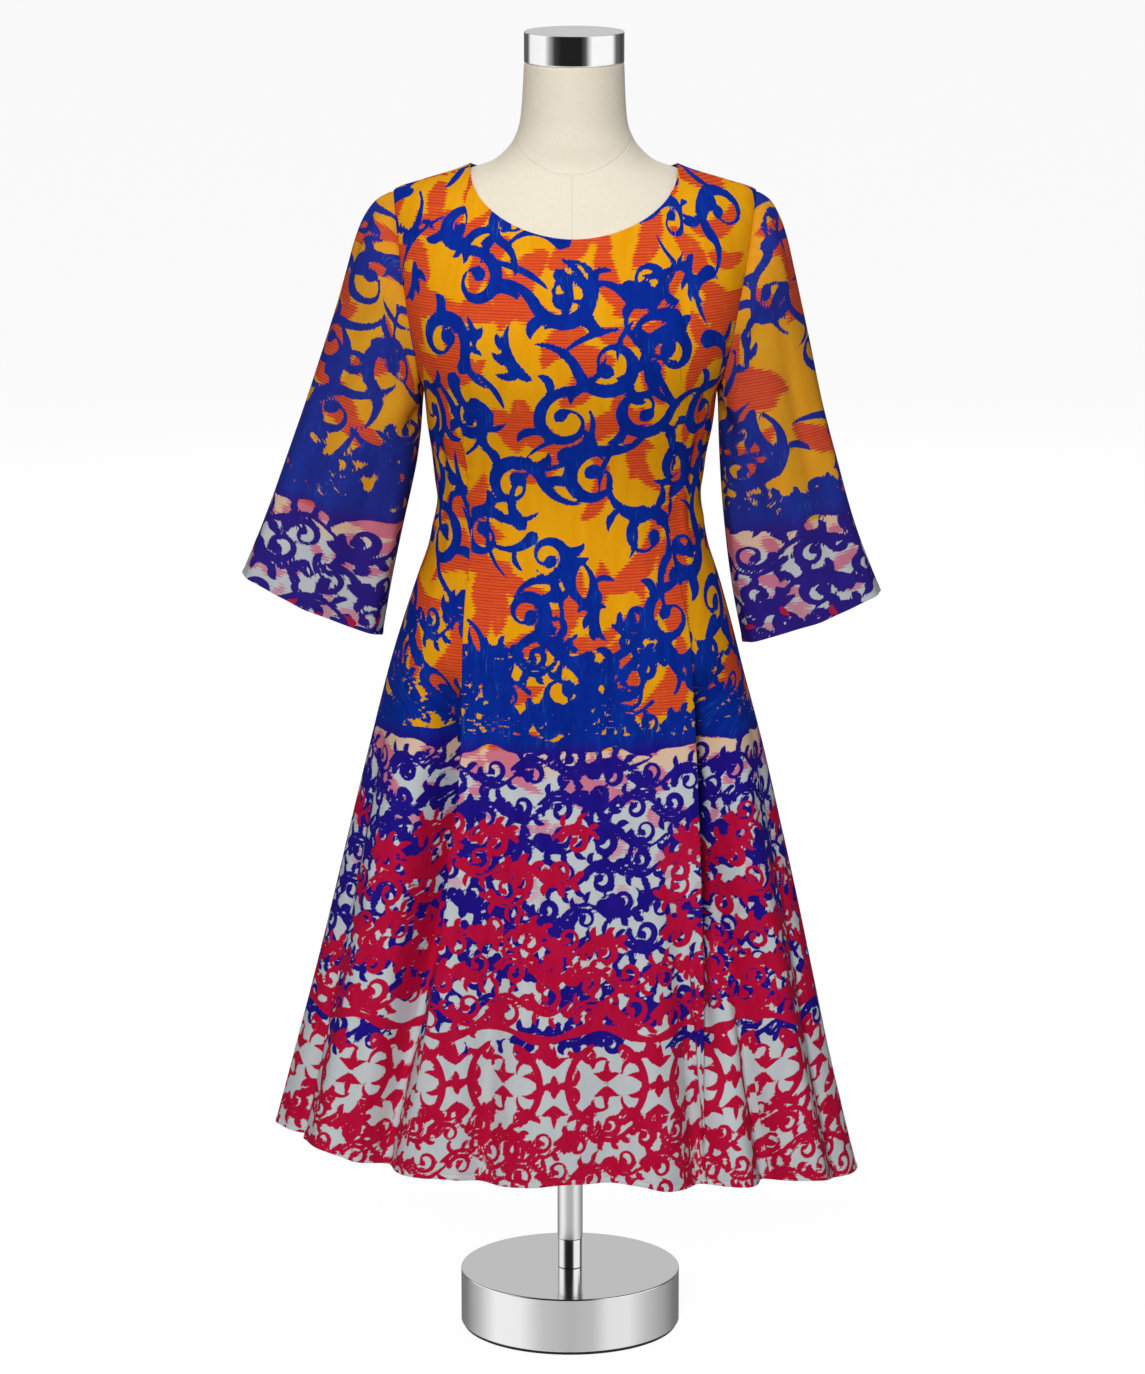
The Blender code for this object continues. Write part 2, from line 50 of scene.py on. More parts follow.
# %% [markdown]
# The camera comes first, because every later choice is judged through it. It stands five metres
# off with a long lens, half a metre above the cap, and looks down by about a seventh of a right
# angle, so that the top of the round base shows as a flat ellipse.

# %% Camera
CAMERA_PLACE = (0.0021, -5.01, 1.688)
CAMERA_PITCH = 12.57
FOCAL_PIXELS = 5975.0
IMAGE_HEIGHT = 1374
SENSOR = 36.0
FARTHEST = 100.0

bpy.ops.object.camera_add(location=CAMERA_PLACE, rotation=(math.radians(90 - CAMERA_PITCH), 0, 0))
camera = bpy.context.object
camera.name = "studio_camera"
camera.data.sensor_width = SENSOR
camera.data.lens = FOCAL_PIXELS * SENSOR / IMAGE_HEIGHT
camera.data.clip_end = FARTHEST
bpy.context.scene.camera = camera
bpy.context.scene.view_settings.view_transform = "Standard"
print("lens:", round(camera.data.lens, 1), "mm")

# %% [markdown]
# Shader maths reads best as plain expressions. A small class wraps the output of a node, so that
# sums written with + - * / add the Math nodes themselves. A second class wraps a tree of nodes:
# its `node` method adds any node, with the settings first and then the values or links. A finish
# is such a tree inside a material.

# %% Helpers for finishes


class Value:
    """A number or a vector in a tree of nodes, which can be used in sums."""

    def __init__(self, nodes, socket):
        self.nodes = nodes
        self.socket = socket

    def maths(self, operation, *numbers):
        node = self.nodes.tree.nodes.new("ShaderNodeMath")
        node.operation = operation
        for index, number in enumerate(numbers):
            self.nodes.join(node.inputs[index], number)
        return Value(self.nodes, node.outputs[0])

    def __add__(self, other):
        return self.maths("ADD", self, other)

    def __radd__(self, other):
        return self.maths("ADD", other, self)

    def __sub__(self, other):
        return self.maths("SUBTRACT", self, other)

    def __rsub__(self, other):
        return self.maths("SUBTRACT", other, self)

    def __mul__(self, other):
        return self.maths("MULTIPLY", self, other)

    def __rmul__(self, other):
        return self.maths("MULTIPLY", other, self)

    def __truediv__(self, other):
        return self.maths("DIVIDE", self, other)

    def least(self, other):
        return self.maths("MINIMUM", self, other)

    def most(self, other):
        return self.maths("MAXIMUM", self, other)

    def sine(self):
        return self.maths("SINE", self)

    def size(self):
        return self.maths("ABSOLUTE", self)

    def rise(self, low, high):
        """0 below low, 1 above high, and a straight slope between them."""
        return self.nodes.node(
            "ShaderNodeMapRange", {"clamp": True}, Value=self, From_Min=low, From_Max=high
        )


class Nodes:
    """A tree of shader nodes."""

    def __init__(self, tree):
        self.tree = tree

    def join(self, socket, value):
        """Link a socket to a value, or set a number or a colour on it."""
        if isinstance(value, Value):
            value = value.socket
        if isinstance(value, bpy.types.NodeSocket):
            self.tree.links.new(value, socket)
        elif socket.type == "RGBA" and len(value) == 3:
            socket.default_value = (*value, 1.0)
        else:
            socket.default_value = value

    def node(self, kind, settings=None, output=0, **inputs):
        """Add a node and return one of its outputs."""
        node = self.tree.nodes.new(kind)
        for setting, value in (settings or {}).items():
            setattr(node, setting, value)
        for name, value in inputs.items():
            self.join(node.inputs[name.replace("_", " ")], value)
        return Value(self, node.outputs[output])

    def place(self):
        """A point's place in its object's own coordinates."""
        return self.node("ShaderNodeTexCoord", output=3)

    def stored(self, name):
        """The vector that a mesh keeps under this name for each of its points."""
        return self.node("ShaderNodeAttribute", {"attribute_name": name}, 1)

    def parts(self, vector):
        """The three numbers of a vector."""
        node = self.tree.nodes.new("ShaderNodeSeparateXYZ")
        self.join(node.inputs[0], vector)
        return [Value(self, output) for output in node.outputs]

    def noise(self, place, scale, detail=2.0):
        """Smooth noise about 0, from -0.5 to 0.5."""
        return self.node("ShaderNodeTexNoise", Vector=place, Scale=scale, Detail=detail) - 0.5

    def stretch(self, place, x, y, z=1.0):
        """The same place with its directions scaled, for streaks and threads."""
        return self.node("ShaderNodeMapping", Vector=place, Scale=(x, y, z))

    def blend(self, share, start, end):
        """Mix two colours."""
        node = self.tree.nodes.new("ShaderNodeMix")
        node.data_type = "RGBA"
        for index, value in ((0, share), (6, start), (7, end)):
            self.join(node.inputs[index], value)
        return Value(self, node.outputs[2])


class Finish(Nodes):
    """One material, with its Principled shader."""

    def __init__(self, name, colour, roughness, metallic=0.0, **constants):
        self.material = bpy.data.materials.new(name)
        self.material.use_nodes = True
        super().__init__(self.material.node_tree)
        self.shader = self.tree.nodes["Principled BSDF"]
        constants.update(Base_Color=colour, Roughness=roughness, Metallic=metallic)
        for socket, value in constants.items():
            self.join(self.shader.inputs[socket.replace("_", " ")], value)

    def colour(self, value):
        self.join(self.shader.inputs["Base Color"], value)

    def relief(self, height, distance):
        """Bump from a height of 0 to 1, in metres at its highest."""
        bump = self.node("ShaderNodeBump", Height=height, Distance=distance, Strength=1.0)
        self.join(self.shader.inputs["Normal"], bump)


def tint(red, green, blue):
    """A colour as a screen shows it, 0 to 255, turned into the renderer's linear light."""
    shares = [channel / 255 for channel in (red, green, blue)]
    return tuple(s / 12.92 if s < 0.04045 else ((s + 0.055) / 1.055) ** 2.4 for s in shares)


def grey(brightness):
    """A grey in the renderer's linear light."""
    return (brightness, brightness, brightness)


# %% [markdown]
# The studio is a plain pale floor, a key light near the camera, a soft box at each side, one
# behind and one above. Polished metal shows what surrounds it, so the world is drawn for it too:
# bright panels to the sides, a dark gap round the camera and a grey wall behind the form. Only
# glossy rays see those panels. The camera sees plain white, and the cloth a faint, even light.

# %% Floor, lights and surroundings
FLOOR_SIZE = 60.0
FLOOR_GLOW = 0.935
FLOOR_SHADES = grey(0.11), grey(0.12)
AMBIENT = 0.12
BACKDROP = 0.58
SKY = 0.975

bpy.ops.mesh.primitive_plane_add(size=FLOOR_SIZE)
floor = bpy.context.object
floor.name = "studio_floor"
floor_finish = Finish(
    "pale_floor", FLOOR_SHADES[0], 0.9, Specular_IOR_Level=0.0,
    Emission_Color=grey(FLOOR_GLOW), Emission_Strength=1.0
)
mottle = floor_finish.noise(floor_finish.place(), 3.0) + 0.5
floor_finish.colour(floor_finish.blend(mottle, *FLOOR_SHADES))
floor.data.materials.append(floor_finish.material)
floor.visible_glossy = False
floor.visible_diffuse = False

# Each soft box stands at its place and faces the middle of the stand at a height
SoftBox = namedtuple("SoftBox", "name place facing width height power")
SOFT_BOXES = [
    SoftBox("key_box", (-0.5, -4.4, 2.3), 0.6, 0.7, 0.9, 121.0),
    SoftBox("left_box", (-2.7, -2.5, 2.1), 0.6, 0.9, 1.8, 10.5),
    SoftBox("right_box", (2.8, -2.4, 1.9), 0.6, 0.9, 1.8, 10.5),
    SoftBox("back_box", (0.4, 3.8, 2.6), 0.6, 1.4, 1.4, 60.0),
    SoftBox("top_box", (0.0, -0.6, 3.6), 0.0, 1.8, 1.8, 22.0),
]
for box in SOFT_BOXES:
    bpy.ops.object.light_add(type="AREA", location=box.place)
    light = bpy.context.object
    light.name = box.name
    light.data.shape = "RECTANGLE"
    light.data.size = box.width
    light.data.size_y = box.height
    light.data.energy = box.power
    x, y, z = box.place
    tilt = math.atan2(math.hypot(x, y), z - box.facing)
    light.rotation_euler = (tilt, 0.0, math.atan2(-y, -x) - math.pi / 2)
    light.visible_glossy = False

# Brightness of the panels by azimuth in degrees: 0 is toward the camera, 90 to its right
SIDE_PANELS = [
    (-180, 0.22), (-150, 0.10), (-132, 0.12), (-120, 0.95), (-72, 1.00), (-60, 0.42), (-46, 0.05),
    (-30, 0.015), (16, 0.015), (27, 0.10), (42, 1.00), (98, 1.00), (112, 0.15), (140, 0.05),
    (180, 0.22),
]
FLOOR_PANELS = [
    (-180, 0.16), (-142, 0.22), (-112, 0.55), (-86, 1.00), (-55, 0.98), (-30, 0.62), (0, 0.52),
    (24, 0.58), (40, 0.86), (64, 0.90), (86, 0.60), (112, 0.42), (142, 0.20), (180, 0.16),
]
WALL_SIDES = math.radians(138), math.radians(158)
WALL_FOOT = 0.0, 0.06
FLOOR_LINE = -0.235, -0.17

world = bpy.data.worlds.new("studio")
bpy.context.scene.world = world
world.use_nodes = True
sky = Nodes(world.node_tree)
x, y, z = sky.parts(sky.node("ShaderNodeTexCoord"))
azimuth = x.maths("ARCTAN2", x, y * -1.0)
share = azimuth.rise(-math.pi, math.pi)


def panel_ramp(panels):
    """Brightness by azimuth."""
    node = sky.tree.nodes.new("ShaderNodeValToRGB")
    sky.join(node.inputs[0], share)
    stops = node.color_ramp.elements
    for index, (angle, brightness) in enumerate(panels):
        place = (angle + 180.0) / 360.0
        stop = stops[index] if index < 2 else stops.new(place)
        stop.position = place
        stop.color = (*grey(brightness), 1.0)
    return node.outputs[0]


wall = azimuth.size().rise(*WALL_SIDES) * z.rise(*WALL_FOOT)
around = sky.blend(z.rise(*FLOOR_LINE), panel_ramp(FLOOR_PANELS), panel_ramp(SIDE_PANELS))
glossy = sky.blend(wall, around, grey(BACKDROP))
rays = sky.tree.nodes.new("ShaderNodeLightPath").outputs
shown = sky.blend(rays["Is Glossy Ray"], grey(AMBIENT), glossy)
shown = sky.blend(rays["Is Camera Ray"], shown, grey(SKY))
sky.join(sky.tree.nodes["Background"].inputs["Color"], shown)
print("panels seen in the chrome:", len(SIDE_PANELS) + len(FLOOR_PANELS))

# %% [markdown]
# The dress and the form share one set of horizontal sections. A section is a rounded outline
# with its own width to each side and depth to the front and the back. Between the rows of the
# table each column follows a smooth curve that never overshoots, so that the sides stay clean.

# %% Sections of the dress and the form
UNDERARM_HEIGHT = 0.833
FRONT_NECK_DROP = 0.0514
BACK_NECK_DROP = 0.020
NECKLINE_SHAPE = 1.9
NECK_SHARE = 55 / 90
TIP_HEIGHT = 1.0004
NECK_POINT_HEIGHT = 1.0224
TIP_LEFT = 0.1493
TIP_RIGHT = 0.1577
NECK_LEFT = 0.0843
NECK_RIGHT = 0.0910
SEAM_GAP = 0.0003
ARMHOLE_BOW = 0.0022
HEIGHT_STEP = 0.0004

# The sections' depths are evened out between two heights, most of all over the bust. Rows of
# the table outside these heights are kept.
SOFT_HEIGHTS = np.arange(0.600, 0.986, 0.005)
FINE_HEIGHTS = np.arange(0.560, 1.0, 0.001)
KEPT_BELOW = 0.598
KEPT_ABOVE = 0.986
SOFT_LEAST = 0.0006
SOFT_MORE = 0.0155
BUST_STARTS = 0.640, 0.740
BUST_ENDS = 0.985, 0.945

# Columns: height, width to -X, width to +X, depth to the front, depth to the back, squareness
SHOULDERS = [
    (0.855, 0.1330, 0.1352, 0.1230, 0.1005, 2.60),
    (0.885, 0.1418, 0.1455, 0.1241, 0.1038, 2.60),
    (0.917, 0.1475, 0.1522, 0.1145, 0.1050, 2.50),
    (0.950, 0.1515, 0.1575, 0.0995, 0.1020, 2.25),
    (0.980, 0.1535, 0.1610, 0.0815, 0.0955, 1.90),
    (1.0004, 0.1493, 0.1577, 0.0690, 0.0880, 1.60),
    (1.0085, 0.1270, 0.1345, 0.0635, 0.0830, 1.60),
    (1.0173, 0.0975, 0.1045, 0.0580, 0.0765, 1.70),
    (1.0224, 0.0843, 0.0910, 0.0550, 0.0720, 1.80),
    (1.0258, 0.0725, 0.0792, 0.0532, 0.0685, 1.85),
    (1.0343, 0.0573, 0.0640, 0.0500, 0.0610, 1.95),
    (1.0427, 0.0480, 0.0545, 0.0475, 0.0545, 2.00),
    (1.0596, 0.0421, 0.0483, 0.0445, 0.0470, 2.00),
    (1.0765, 0.0404, 0.0468, 0.0435, 0.0440, 2.00),
    (1.1082, 0.0386, 0.0456, 0.0421, 0.0421, 2.00),
]
DRESS = np.array([
    (0.120, 0.2640, 0.2490, 0.1290, 0.1225, 2.10),
    (0.165, 0.2530, 0.2376, 0.1270, 0.1205, 2.10),
    (0.238, 0.2353, 0.2212, 0.1240, 0.1180, 2.10),
    (0.310, 0.2181, 0.2075, 0.1215, 0.1160, 2.10),
    (0.382, 0.2018, 0.1939, 0.1190, 0.1145, 2.10),
    (0.453, 0.1865, 0.1795, 0.1170, 0.1135, 2.10),
    (0.524, 0.1705, 0.1644, 0.1155, 0.1125, 2.10),
    (0.595, 0.1537, 0.1467, 0.1130, 0.1105, 2.15),
    (0.630, 0.1432, 0.1379, 0.1100, 0.1080, 2.15),
    (0.665, 0.1318, 0.1283, 0.1045, 0.1020, 2.15),
    (0.700, 0.1205, 0.1179, 0.0975, 0.0930, 2.15),
    (0.735, 0.1144, 0.1126, 0.0930, 0.0850, 2.15),
    (0.769, 0.1167, 0.1150, 0.0965, 0.0845, 2.20),
    (0.804, 0.1215, 0.1216, 0.1075, 0.0895, 2.35),
    (0.833, 0.1243, 0.1252, 0.1180, 0.0965, 2.50),
] + SHOULDERS)
FORM = np.array([
    (0.560, 0.1140, 0.1140, 0.0850, 0.0930, 2.20),
    (0.600, 0.1240, 0.1240, 0.0930, 0.1010, 2.20),
    (0.640, 0.1260, 0.1240, 0.0960, 0.0995, 2.20),
    (0.680, 0.1160, 0.1140, 0.0900, 0.0890, 2.20),
    (0.735, 0.1075, 0.1060, 0.0860, 0.0770, 2.15),
    (0.780, 0.1125, 0.1110, 0.0925, 0.0790, 2.25),
    (0.833, 0.1243, 0.1252, 0.1180, 0.0965, 2.50),
] + SHOULDERS)


def ease(low, high, value):
    """Rise smoothly from 0 at low to 1 at high."""
    share = np.clip((value - low) / (high - low), 0.0, 1.0)
    return share * share * (3.0 - 2.0 * share)


def read_table(table, places):
    """Every column of a table after its first, read at an array of places."""
    table = np.asarray(table, float)
    at = table[:, 0]
    lengths = np.diff(at)
    rises = np.diff(table[:, 1:], axis=0) / lengths[:, None]
    slopes = np.zeros_like(table[:, 1:])
    slopes[0] = rises[0]
    slopes[-1] = rises[-1]
    before, after = rises[:-1], rises[1:]
    weight_before = (2.0 * lengths[1:] + lengths[:-1])[:, None]
    weight_after = (lengths[1:] + 2.0 * lengths[:-1])[:, None]
    same_way = before * after > 0.0
    safe_before = np.where(same_way, before, 1.0)
    safe_after = np.where(same_way, after, 1.0)
    mean = weight_before + weight_after
    mean = mean / (weight_before / safe_before + weight_after / safe_after)
    slopes[1:-1] = np.where(same_way, mean, 0.0)
    places = np.asarray(places, float)
    row = np.clip(np.searchsorted(at, places) - 1, 0, len(at) - 2)
    length = lengths[row]
    share = ((places - at[row]) / length)[..., None]
    length = length[..., None]
    start, end = table[row, 1:], table[row + 1, 1:]
    values = (
        start * (2 * share**3 - 3 * share**2 + 1)
        + slopes[row] * length * (share**3 - 2 * share**2 + share)
        + end * (3 * share**2 - 2 * share**3)
        + slopes[row + 1] * length * (share**3 - share**2)
    )
    return [values[..., column] for column in range(values.shape[-1])]


def softened(table):
    """The same sections, with depths and squareness evened out over the height of the bust."""
    table = np.asarray(table, float)
    heights = SOFT_HEIGHTS
    spread = SOFT_LEAST + SOFT_MORE * ease(*BUST_STARTS, heights) * ease(*BUST_ENDS, heights)
    weights = np.exp(-0.5 * ((heights[:, None] - FINE_HEIGHTS) / spread[:, None]) ** 2)
    weights /= weights.sum(axis=1, keepdims=True)
    left, right = read_table(table, heights)[:2]
    depths = weights @ np.stack(read_table(table, FINE_HEIGHTS)[2:], -1)
    rows = np.column_stack((heights, left, right, depths))
    at = table[:, 0]
    return np.concatenate((table[at < KEPT_BELOW], rows, table[at > KEPT_ABOVE]))


DRESS = softened(DRESS)
FORM = softened(FORM)


def on_section(table, heights, angles):
    """Points of the sections at these heights, in the directions of these angles in degrees."""
    left, right, front, back, square = read_table(table, heights)
    sine = np.sin(np.radians(angles))
    cosine = np.cos(np.radians(angles))
    width = np.where(sine > 0, right, left)
    depth = np.where(cosine > 0, front, back)
    x = np.sign(sine) * width * np.abs(sine) ** (2 / square)
    y = -np.sign(cosine) * depth * np.abs(cosine) ** (2 / square)
    return np.stack((x, y, heights + 0 * x), -1)


def depth_at(table, heights, x, facing):
    """Y of the sections' outline at x, on the front (facing -1) or the back (1)."""
    left, right, front, back, square = read_table(table, heights)
    width = np.where(x > 0, right, left)
    depth = back if facing > 0 else front
    inside = np.clip(1.0 - (np.abs(x) / width) ** square, 0.0, None)
    return facing * depth * inside ** (1 / square)


def outward(table, points):
    """Unit normals of the surface that a table of sections describes."""
    x, y, z = points[..., 0], points[..., 1], points[..., 2]

    def parts(heights):
        left, right, front, back, square = read_table(table, heights)
        return np.where(x > 0, right, left), np.where(y > 0, back, front), square

    def fullness(heights):
        width, depth, square = parts(heights)
        return (np.abs(x) / width) ** square + (np.abs(y) / depth) ** square

    width, depth, square = parts(z)
    normal = np.stack((
        np.sign(x) * square * (np.abs(x) / width) ** (square - 1) / width,
        np.sign(y) * square * (np.abs(y) / depth) ** (square - 1) / depth,
        (fullness(z + HEIGHT_STEP) - fullness(z - HEIGHT_STEP)) / (2 * HEIGHT_STEP),
    ), -1)
    return normal / np.linalg.norm(normal, axis=-1, keepdims=True)


cloth_profile_z = np.linspace(0.10, 1.06, 193)
cloth_profile_y = read_table(DRESS, cloth_profile_z)[2]
cloth_profile_v = np.concatenate((
    [0.10], 0.10 + np.cumsum(np.hypot(np.diff(cloth_profile_z), np.diff(cloth_profile_y)))
))


def cloth_height(z):
    """Height measured along the cloth, which is longer than z where the chest slopes."""
    return np.interp(z, cloth_profile_z, cloth_profile_v)


length = float(cloth_height(NECK_POINT_HEIGHT) - cloth_height(0.16))
print("cloth from 0.16 to the neck point:", round(length, 3), "m")

# %% [markdown]
# Cloth starts as a flat grid, and so does every soft piece here. A function then takes each point
# of the grid to its place on the wearer. A cloth has two sides, so it gets two grids: a fine one
# outside, which shows, and a coarser one a thread's breadth inside. Their edges are bridged into
# one closed shell, as thick as cloth is.

# %% Helpers that wrap a grid and close a cloth
MERGE_DISTANCE = 0.00002
INSIDE_STEP = 3
RIM = "rim"


@contextmanager
def editing(select=None):
    """Edit mode for the tools of a with block. select is what select_all does first."""
    bpy.ops.object.mode_set(mode="EDIT")
    if select:
        bpy.ops.mesh.select_all(action=select)
    yield
    bpy.ops.object.mode_set(mode="OBJECT")


def select_only(mesh, kind, chosen):
    """Select exactly the chosen edges or faces, for the next tool."""
    with editing():
        bpy.ops.mesh.select_mode(type=kind)
        bpy.ops.mesh.select_all(action="DESELECT")
    (mesh.edges if kind == "EDGE" else mesh.polygons).foreach_set("select", chosen)


def store(piece, name, values, kind="FLOAT"):
    """Keep numbers or vectors for the points of a mesh, for its finish to read."""
    layer = piece.data.attributes.new(name, kind, "POINT")
    layer.data.foreach_set("vector" if kind == "FLOAT_VECTOR" else "value", np.ravel(values))


def wrapped_grid(name, points, fields=None, closed=False):
    """A grid of quads through points[row, column]. A closed grid joins its two long sides."""
    if closed:
        points = np.concatenate((points, points[:, :1]), axis=1)
    rows, columns = points.shape[:2]
    bpy.ops.object.select_all(action="DESELECT")
    bpy.ops.mesh.primitive_grid_add(x_subdivisions=columns - 1, y_subdivisions=rows - 1, size=1.0)
    piece = bpy.context.object
    piece.name = piece.data.name = name
    start = np.empty(len(piece.data.vertices) * 3)
    piece.data.vertices.foreach_get("co", start)
    start = start.reshape(-1, 3)
    column = np.rint((start[:, 0] + 0.5) * (columns - 1)).astype(int)
    row = np.rint((start[:, 1] + 0.5) * (rows - 1)).astype(int)
    piece.data.vertices.foreach_set("co", points[row, column].ravel())
    for field, values in (fields or {}).items():
        if closed:
            values = np.concatenate((values, values[:, :1]), axis=1)
        store(piece, field, values[row, column], "FLOAT_VECTOR" if values.ndim == 3 else "FLOAT")
    piece.data.update()
    if closed:
        with editing("SELECT"):
            bpy.ops.mesh.remove_doubles(threshold=MERGE_DISTANCE)
    return piece


def thinned(count, closed=False):
    """Every third index and, where the ends don't meet, the last one."""
    chosen = np.arange(0, count, INSIDE_STEP)
    return chosen if closed else np.unique(np.append(chosen, count - 1))


def grid_normals(points, closed):
    """Unit normals of a grid of points."""
    if closed:
        around = np.roll(points, -1, axis=1) - np.roll(points, 1, axis=1)
    else:
        around = np.gradient(points, axis=1)
    normals = np.cross(around, np.gradient(points, axis=0))
    return normals / np.maximum(np.linalg.norm(normals, axis=-1, keepdims=True), 1e-12)


def flip():
    """Turn every face of the mesh that was made last."""
    with editing("SELECT"):
        bpy.ops.mesh.flip_normals()


def cloth_shell(name, points, thickness, hand, fields, closed=False):
    """A closed shell of cloth. hand is 1 where a row crossed with a column points outwards."""
    rims = np.zeros(points.shape[:2])
    rims[0] = 1.0
    rims[-1] = 2.0 if closed else 1.0
    if not closed:
        rims[:, [0, -1]] = 1.0
    fields = {**fields, RIM: rims}
    inside = points - hand * thickness * grid_normals(points, closed)
    pick = np.ix_(thinned(points.shape[0]), thinned(points.shape[1], closed))
    coarse = {field: values[pick] for field, values in fields.items()}
    inner = wrapped_grid(name + "_inside", inside[pick], coarse, closed)
    if hand > 0:
        flip()
    outer = wrapped_grid(name, points, fields, closed)
    if hand < 0:
        flip()
    inner.select_set(True)
    bpy.ops.object.join()
    mesh = outer.data
    rim = np.empty(len(mesh.vertices), np.float32)
    mesh.attributes[RIM].data.foreach_get("value", rim)
    ends = np.empty(len(mesh.edges) * 2, np.int32)
    mesh.edges.foreach_get("vertices", ends)
    ends = ends.reshape(-1, 2)
    for number in (1.0, 2.0) if closed else (1.0,):
        chosen = np.zeros(len(mesh.edges), bool)
        chosen[: len(ends)] = (rim[ends] == number).all(axis=1)
        select_only(mesh, "EDGE", chosen)
        with editing():
            bpy.ops.mesh.mark_sharp()
            bpy.ops.mesh.bridge_edge_loops()
    bpy.ops.object.shade_smooth()
    mesh.attributes.remove(mesh.attributes[RIM])
    return outer


def flat_area(flat):
    """Area of the flat cloth under a grid of places."""
    across = flat[:-1, 1:] - flat[1:, :-1]
    along = flat[1:, 1:] - flat[:-1, :-1]
    doubled = np.abs(across[..., 0] * along[..., 1] - across[..., 1] * along[..., 0])
    return float(0.5 * doubled.sum())


# %% [markdown]
# The form is a torso with a neck, covered in cream cloth. Its grid is wrapped round and pulled
# shut at the bottom and under the cap. The body is set a little inside the dress, so that the
# cloth never touches it.

# %% Body of the form
FORM_COLUMNS = 144
FORM_ROWS = 190
FORM_BOTTOM = 0.560
NECK_TOP = 1.1082
COVER_INSET = 0.0015
CHEST_EASE = 0.0017
SHOULDER_EASE = 0.0022
TIP_EASE = 0.0032

# Heights between which the cover's inset grows, grows again at the shoulders and ends at the neck
INSET_STARTS = 0.780
YOKE_STARTS = 0.950
TIP_EASE_FULL = 0.980
SHOULDER_EASE_FULL = 1.000
INSET_FADES = 1.026
INSET_ENDS = 1.045
NECK_TURNS = 1.020, 1.060
TIP_SHARE_POWER = 5

bottom_shares = np.array([0.0, 0.35, 0.7, 0.9, 0.97])
form_z = np.concatenate((
    np.full(5, FORM_BOTTOM),
    FORM_BOTTOM + np.array([0.0006, 0.0022, 0.005]),
    np.linspace(FORM_BOTTOM + 0.009, NECK_TOP - 0.0012, FORM_ROWS),
    [NECK_TOP - 0.0003, NECK_TOP, NECK_TOP, NECK_TOP],
))
form_shrink = np.concatenate((
    bottom_shares, [0.986, 0.995, 1.0], np.ones(FORM_ROWS), [0.995, 0.98, 0.5, 0.0]
))
form_angles = np.linspace(0.0, 360.0, FORM_COLUMNS + 1)
grid_z, grid_angle = np.meshgrid(form_z, form_angles, indexing="ij")
form_points = on_section(FORM, grid_z, grid_angle)
shoulders = ease(YOKE_STARTS, SHOULDER_EASE_FULL, grid_z)
inset = COVER_INSET + CHEST_EASE + (SHOULDER_EASE - CHEST_EASE) * shoulders
inset *= ease(INSET_STARTS, UNDERARM_HEIGHT, grid_z) * ease(INSET_ENDS, INSET_FADES, grid_z)
tip_share = (np.abs(form_points[..., 0]) / TIP_LEFT) ** TIP_SHARE_POWER
inset += ease(YOKE_STARTS, TIP_EASE_FULL, grid_z) * tip_share * TIP_EASE
form_points -= outward(FORM, form_points) * inset[..., None]
neck_x = 0.5 * (FORM[-1, 2] - FORM[-1, 1]) * ease(*NECK_TURNS, grid_z)
form_points[..., 0] = neck_x + (form_points[..., 0] - neck_x) * form_shrink[:, None]
form_points[..., 1] *= form_shrink[:, None]
form_body = wrapped_grid("form_torso", form_points[:, :-1], closed=True)
with editing("SELECT"):
    bpy.ops.mesh.normals_make_consistent(inside=False)
bpy.ops.object.shade_smooth()
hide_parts("form_body")
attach(form_body, "root")
print("form:", len(form_body.data.polygons), "faces")

# %% [markdown]
# The cover is a woven cotton over padding. Fine threads cross each other, and two seams show
# above the neckline: one round the foot of the neck and one down the centre of the chest. Both
# are a hair's breadth sunk, so they are drawn as relief with a slightly darker thread.

# %% Finish of the cover
NECK_SEAM_FRONT = 1.0200
NECK_SEAM_RISE = 0.0300
NECK_SEAM_REACH = 0.0720
CENTRE_SEAM_X = 0.0020
SEAM_GROOVE = 0.0002, 0.0009
SEAM_LIP = 0.0016
COVER_RELIEF = 0.00030

cover = Finish(
    "cream_cover", tint(246, 237, 217), 0.85, Sheen_Weight=0.15, Specular_IOR_Level=0.25
)
place = cover.place()
x, y, z = cover.parts(place)
across = (x - CENTRE_SEAM_X) / NECK_SEAM_REACH
neck_seam = NECK_SEAM_FRONT + across * across * NECK_SEAM_RISE + (y + 0.05).most(0.0) * 0.30
below_neck = (neck_seam - z).rise(0.0, 0.001)
from_centre = (x - CENTRE_SEAM_X).size() + (1.0 - below_neck) + y.rise(-0.01, 0.01)
gap = (z - neck_seam).size().least(from_centre)
groove = 1.0 - gap.rise(*SEAM_GROOVE)
lips = 1.0 - (gap - SEAM_LIP).size().rise(0.0, 0.0010)
weave = cover.noise(place, 1500.0)
slub = cover.noise(place, 300.0, 3.0)
cover.relief(weave * 0.35 + slub * 0.30 - groove * 0.8 + lips * 0.30 + 0.5, COVER_RELIEF)
tone = cover.blend(slub.rise(-0.35, 0.35), tint(243, 233, 211), tint(250, 242, 223))
# The raised lips beside each seam are mixed a little lighter: a painted highlight where they stand
# up into the light
tone = cover.blend(lips * 0.35, tone, tint(248, 240, 224))
tone = cover.blend(groove * 0.10, tone, tint(205, 184, 150))
cover.colour(tone)
form_body.data.materials.append(cover.material)

# %% [markdown]
# Cap, pole and base are turned metal. Each one is modelled as a lathe would cut it: a primitive
# cylinder of its size, with its rims selected by height and bevelled. The cap and the base are
# polished. The pole's upper length is brushed, so its bands of light are softer.

